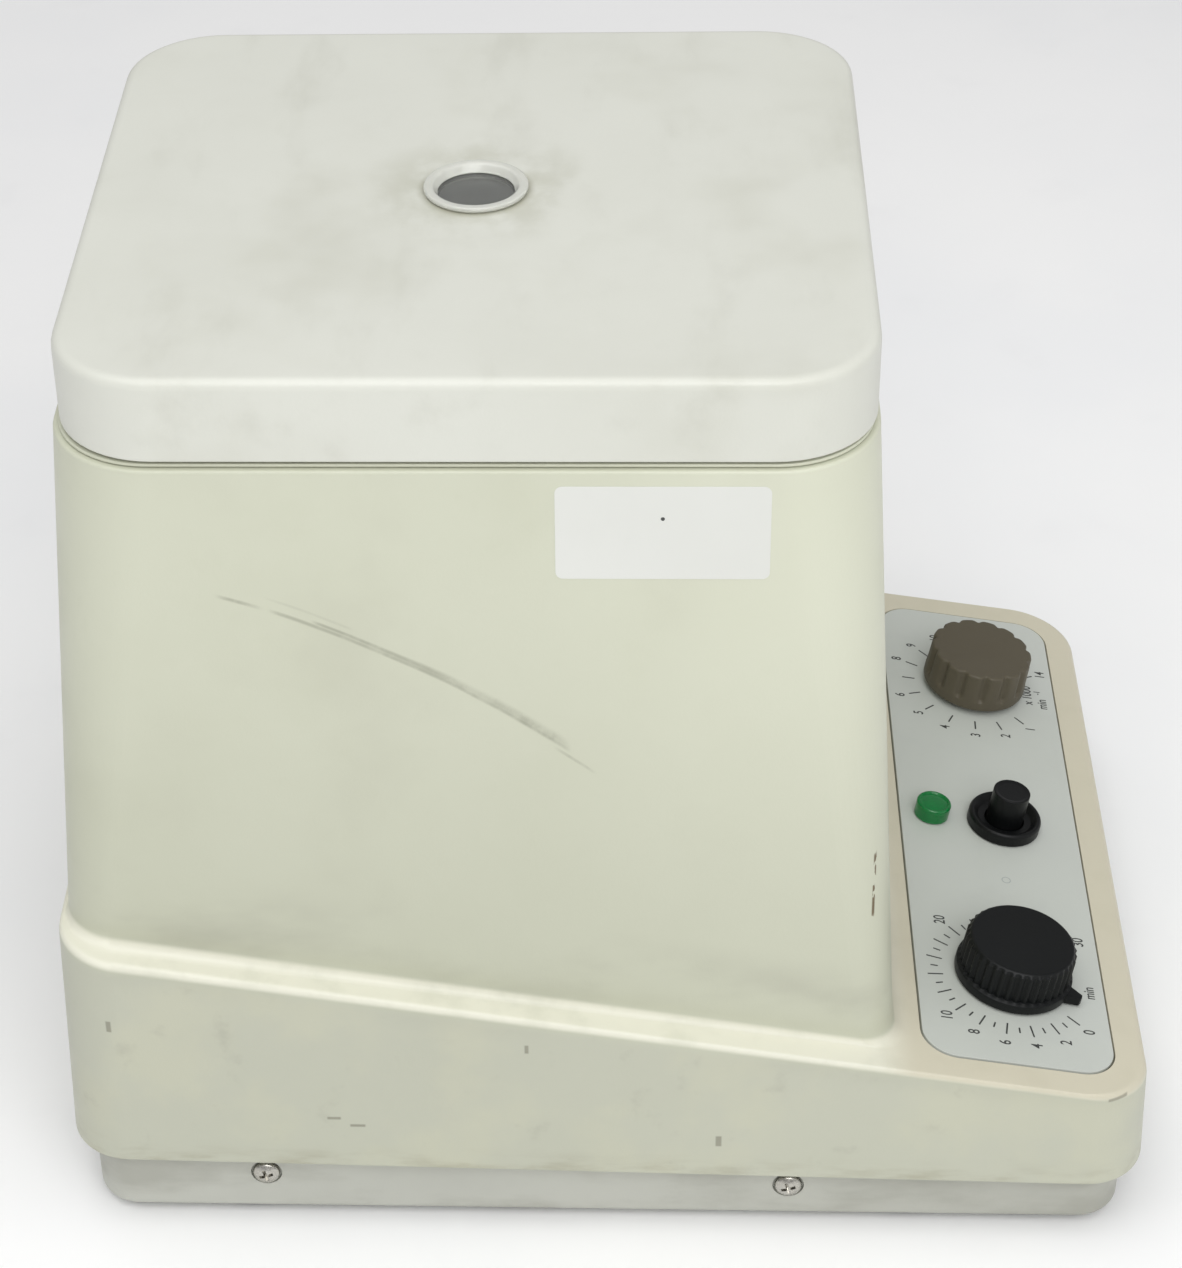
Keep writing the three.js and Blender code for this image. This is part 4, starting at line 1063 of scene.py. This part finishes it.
def build_lamp_and_button():
    build_turned("lamp_cap", "lamp_lens", [
        (0, -3), (3.3, -3), (3.3, 0.6), (4.8, 0.6), (4.8, 4.7), (4.35, 5.1), (3.9, 5), (3.7, 4.6),
        (2.6, 4.9), (0, 5.1),
    ], 0.35, 64, centre=LAMP, place=PANEL)
    build_turned("button_bezel", "button_collar", [
        (5.4, 0.6), (10.1, 0.6), (10.1, 3.6), (9.6, 4.3), (8.9, 4.3), (7.3, 2.5), (5.4, 2.5),
    ], 0.35, 72, True, BUTTON, place=PANEL)
    build_turned("button_plunger", "button_cap", [
        (0, -4), (5.1, -4), (5.1, 12.2), (4.6, 12.2), (3.9, 12), (0, 11.95),
    ], 0.3, 72, centre=BUTTON, place=PANEL)


def print_text(mesh, words, centre, height):
    """Flat lettering in the panel's plane, its top towards the tower."""
    curve = bpy.data.curves.new("words", "FONT")
    curve.body = words
    curve.size = height * 1.38
    curve.align_x = "CENTER"
    curve.align_y = "CENTER"
    curve.extrude = 0.008
    curve.offset = 0.05
    holder = bpy.data.objects.new("words", curve)
    bpy.context.scene.collection.objects.link(holder)
    graph = bpy.context.evaluated_depsgraph_get()
    data = bpy.data.meshes.new_from_object(holder.evaluated_get(graph))
    bpy.data.objects.remove(holder)
    made = bmesh.new()
    made.from_mesh(data)
    bpy.data.meshes.remove(data)
    squeeze = Matrix.Diagonal((0.8, 1, 1, 1))
    merge(mesh, made, PANEL @ Matrix.Translation((centre[0], centre[1], PLATE_PROUD + 0.012)) @ squeeze)


def print_tick(mesh, centre, angle, inner, outer, width):
    place = PANEL @ placed(centre.to_3d(), angle, "Z")
    stroke = rounded_box(inner, outer, -width / 2, width / 2, width * 0.3, 2)
    slab(mesh, [stroke], PLATE_PROUD + 0.004, PLATE_PROUD + 0.02, 0, place)


def around(centre, radius, angle):
    return (centre.x + radius * math.cos(angle), centre.y + radius * math.sin(angle))


def build_markings():
    mesh = bmesh.new()
    for minute in range(31):
        angle = math.radians(TIMER_ZERO - MINUTE * minute)
        reach = (18.5, 22.7) if minute % 2 == 0 else (19.5, 21.5)
        print_tick(mesh, TIMER, angle, *reach, 0.45)
        if minute in (0, 2, 4, 6, 8, 10, 20, 30):
            print_text(mesh, str(minute), around(TIMER, 25.9, angle), 3.1)
    for speed in range(1, 15):
        angle = math.radians(SPEED_ZERO - THOUSAND * speed)
        print_tick(mesh, SPEED, angle, 17.0, 20.7, 0.45)
        if speed in (1, 2, 3, 4, 5, 6, 8, 9, 10, 12, 14):
            print_text(mesh, str(speed), around(SPEED, 23.5, angle), 2.9)
    print_text(mesh, "min", (TIMER.x - 2.7, TIMER.y - 20.4), 2.9)
    print_text(mesh, "x 1000", (SPEED.x - 0.9, SPEED.y - 16.4), 2.9)
    print_text(mesh, "min", (SPEED.x - 4.4, SPEED.y - 20.6), 2.9)
    print_text(mesh, "-1", (SPEED.x + 0.9, SPEED.y - 19.5), 1.9)
    dress(object_from("scale_markings", mesh), "control_plate", ink, stands_for=False)
    mesh = bmesh.new()
    spot = (-25, (PANEL.inverted() @ Vector((-25, -99.4, 0))).y)
    flat = [circle(1.3, 32, spot), circle(1, 32, spot)]
    slab(mesh, flat, PLATE_PROUD + 0.004, PLATE_PROUD + 0.02, 0, PANEL)
    dress(object_from("faded_ring_mark", mesh), "control_plate", faded_ink, stands_for=False)


def build_side_label():
    """A blank sticker with soft corners on the left wall, and the dot left on it."""
    lean = math.atan(TOWER_SIDE_DRAFT)
    outward = Vector((-math.cos(lean), 0, math.sin(lean)))
    upward = Vector((math.sin(lean), 0, math.cos(lean)))
    height = 212.3
    wall = -(TOWER_HALF_WIDTH + TOWER_SIDE_DRAFT * (TOWER_TOP - height))
    axes = Matrix((Vector((0, -1, 0)), upward, outward)).transposed().to_4x4()
    place = Matrix.Translation((wall, -14, height)) @ axes
    mesh = bmesh.new()
    slab(mesh, [rounded_box(-24.5, 24.5, -12.3, 12.3, 1.8, 8)], 0, 0.1, 0.04, place)
    dress(object_from("blank_side_label", mesh), "housing", sticker, stands_for=False)
    build_turned("label_dot", "housing", [(0, 0.2), (0.45, 0.18), (0.5, 0.05), (0, 0.05)], 0.05, 20,
                 centre=(0, 3.8), place=place, look=ink, stands_for=False)


build_plate()
build_timer_knob()
build_speed_knob()
build_lamp_and_button()
build_markings()
build_side_label()


# ---------- rear of the machine ----------
def outline_round(part, half_width, half_height, corner, steps=6):
    """A rounded outline in the plane of the rear wall, round the middle of a part."""
    return rounded_box(part.x - half_width, part.x + half_width,
                       part.z - half_height, part.z + half_height, corner, steps)


def build_rear():
    low, high = box("rear_plate")
    behind = facing_rear(high.y)
    inlet, switch, fuse = middle("power_inlet"), middle("switch_body"), middle("fuse_holder")
    holes = [
        outline_round(inlet, 14, 10.3, 2, 5),
        outline_round(switch, 7, 10, 1, 5),
        circle(6.3, 40, (fuse.x, fuse.z)),
    ]
    mesh = bmesh.new()
    slab(mesh, [rounded_box(low.x, high.x, low.z, high.z, 2, 5)] + holes, 0, high.y - low.y, 0.3, behind)
    dress(object_from("rear_fascia", mesh), "rear_plate")

    flange = facing_rear(box("power_inlet")[1].y)
    mesh = bmesh.new()
    well = outline_round(inlet, 12, 8.2, 2.4)
    slab(mesh, [outline_round(inlet, 16.5, 12.5, 3), well], 0, 2.5, 0.4, flange)
    body = outline_round(inlet, 13.6, 9.9, 3)
    slab(mesh, [body, well], 2, 21, 0.2, flange)
    slab(mesh, [body], 21, 25, 0.4, flange)
    for dx, dz in [(-7, -2), (0, 2), (7, -2)]:
        pin = inlet + Vector((dx, 0, dz))
        slab(mesh, [outline_round(pin, 1, 2, 0.4, 4)], 4, 22, 0.3, flange)
    dress(object_from("inlet_socket_body", mesh), "power_inlet")

    flange = facing_rear(box("switch_body")[1].y)
    mesh = bmesh.new()
    well = outline_round(switch, 5.6, 8.8, 0.8, 5)
    slab(mesh, [outline_round(switch, 8.5, 12, 1.5), well], 0, 1.5, 0.4, flange)
    body = outline_round(switch, 6.7, 9.7, 1, 5)
    slab(mesh, [body, well], 1, 12, 0.2, flange)
    slab(mesh, [body], 12, 21, 0.4, flange)
    dress(object_from("switch_frame", mesh), "switch_body")

    mesh = bmesh.new()
    pivot = Vector(joints["mains_rocker_tip"]["pos_m"]) / MM
    profile = round_off([Vector(p) for p in [
        (0, 2.4), (-7.8, 4), (-7.4, -2), (-2, -4.5), (2, -4.5), (7.4, -2), (7.8, 4), (0, 2.4),
    ]], [3, 0.6, 0.6, 0.6, 0.6, 0.6, 0.6, 3], 4)
    tip = placed(pivot, math.radians(9), "X")
    sideways = Matrix(((0, 0, 1, 0), (0, 1, 0, 0), (-1, 0, 0, 0), (0, 0, 0, 1)))
    outline = [Vector((-p.x, p.y)) for p in profile[:-1]]
    slab(mesh, [outline], -5.1, 5.1, 0.3, tip @ sideways)
    dress(object_from("rocker_paddle", mesh), "mains_rocker")

    mesh = bmesh.new()
    out = placed((fuse.x, high.y, fuse.z), -math.pi / 2, "X")
    turned(mesh, rounded_profile([
        (0, -24), (5.9, -24), (5.9, GAP), (7.6, GAP), (7.6, 1.6), (5.4, 1.8), (5, 3.4), (0, 3.4),
    ], 0.35), steps=64, place=out)
    made = object_from("fuse_cap", mesh)
    coin_slot = bmesh.new()
    block(coin_slot, ((-4, 4), (-0.7, 0.7), (2.2, 5)), 0.3, 0, out)
    cut(made, coin_slot)
    dress(made, "fuse_holder")


build_rear()

# ---------- what is still shown as the CAD has it ----------
for node, shown in frame["nodes"].items():
    if not shown.hide_render:
        for holder in shown.material_slots:
            holder.material = looks[holder.name]


# ---------- floor, light and camera ----------
def build_floor():
    mesh = bmesh.new()
    slab(mesh, [circle(6000, 96)], -40, -0.2, 1)
    made = object_from("floor", mesh)
    smooth(made)
    look = Look("floor_look", (252, 252, 252), 0.6)
    look.patches(260, (244, 245, 247), 0.6, 0.4, 0.7)
    look.patches(40, (240, 240, 241), 0.25, 0.55, 0.8)
    look.raise_by(look.noise(3, detail=3), 0.02)
    made.data.materials.append(look.finish())


def soft_light(name, place, target, size, power, tone=(1, 1, 1)):
    data = bpy.data.lights.new(name, "AREA")
    data.shape = "RECTANGLE"
    data.size, data.size_y = size
    data.energy = power
    data.color = tone
    made = bpy.data.objects.new(name, data)
    bpy.context.scene.collection.objects.link(made)
    made.location = place
    made.rotation_euler = (Vector(target) - Vector(place)).to_track_quat("-Z", "Y").to_euler()


def build_camera():
    """The photograph's own view: place, direction and roll, with a slight shift of the lens."""
    heading, pitch, roll = (math.radians(a) for a in (3.972, 35.861, -2.134))
    ahead = Vector((
        math.cos(heading) * math.cos(pitch), math.sin(heading) * math.cos(pitch), -math.sin(pitch),
    ))
    level = Vector((math.sin(heading), -math.cos(heading), 0))
    over = level.cross(ahead)
    right = level * math.cos(roll) + over * math.sin(roll)
    up = over * math.cos(roll) - level * math.sin(roll)
    data = bpy.data.cameras.new("camera")
    data.sensor_fit = "HORIZONTAL"
    data.sensor_width = 36
    data.lens = 97.2
    data.shift_x = 0.1095
    data.shift_y = -0.006
    data.clip_end = 100
    made = bpy.data.objects.new("camera", data)
    bpy.context.scene.collection.objects.link(made)
    made.matrix_world = Matrix.Translation(Vector((-690.98, -9.15, 620.95)) * MM) @ Matrix(
        (right, up, -ahead)).transposed().to_4x4()
    bpy.context.scene.camera = made


build_floor()
soft_light("key", (-1.6, -0.4, 1.5), (0, 0, 0.12), (1.6, 1.2), 18)
soft_light("overhead", (-0.5, 0.2, 1.8), (-0.1, 0, 0.1), (1.8, 1.8), 18)
soft_light("fill", (-0.6, -1.8, 0.9), (0, 0, 0.1), (1.4, 1.0), 2.5)
world = bpy.data.worlds.new("studio")
world.use_nodes = True
world.node_tree.nodes["Background"].inputs["Color"].default_value = (1, 1, 1, 1)
world.node_tree.nodes["Background"].inputs["Strength"].default_value = 0.4
bpy.context.scene.world = world
bpy.context.scene.view_settings.view_transform = "Standard"
build_camera()
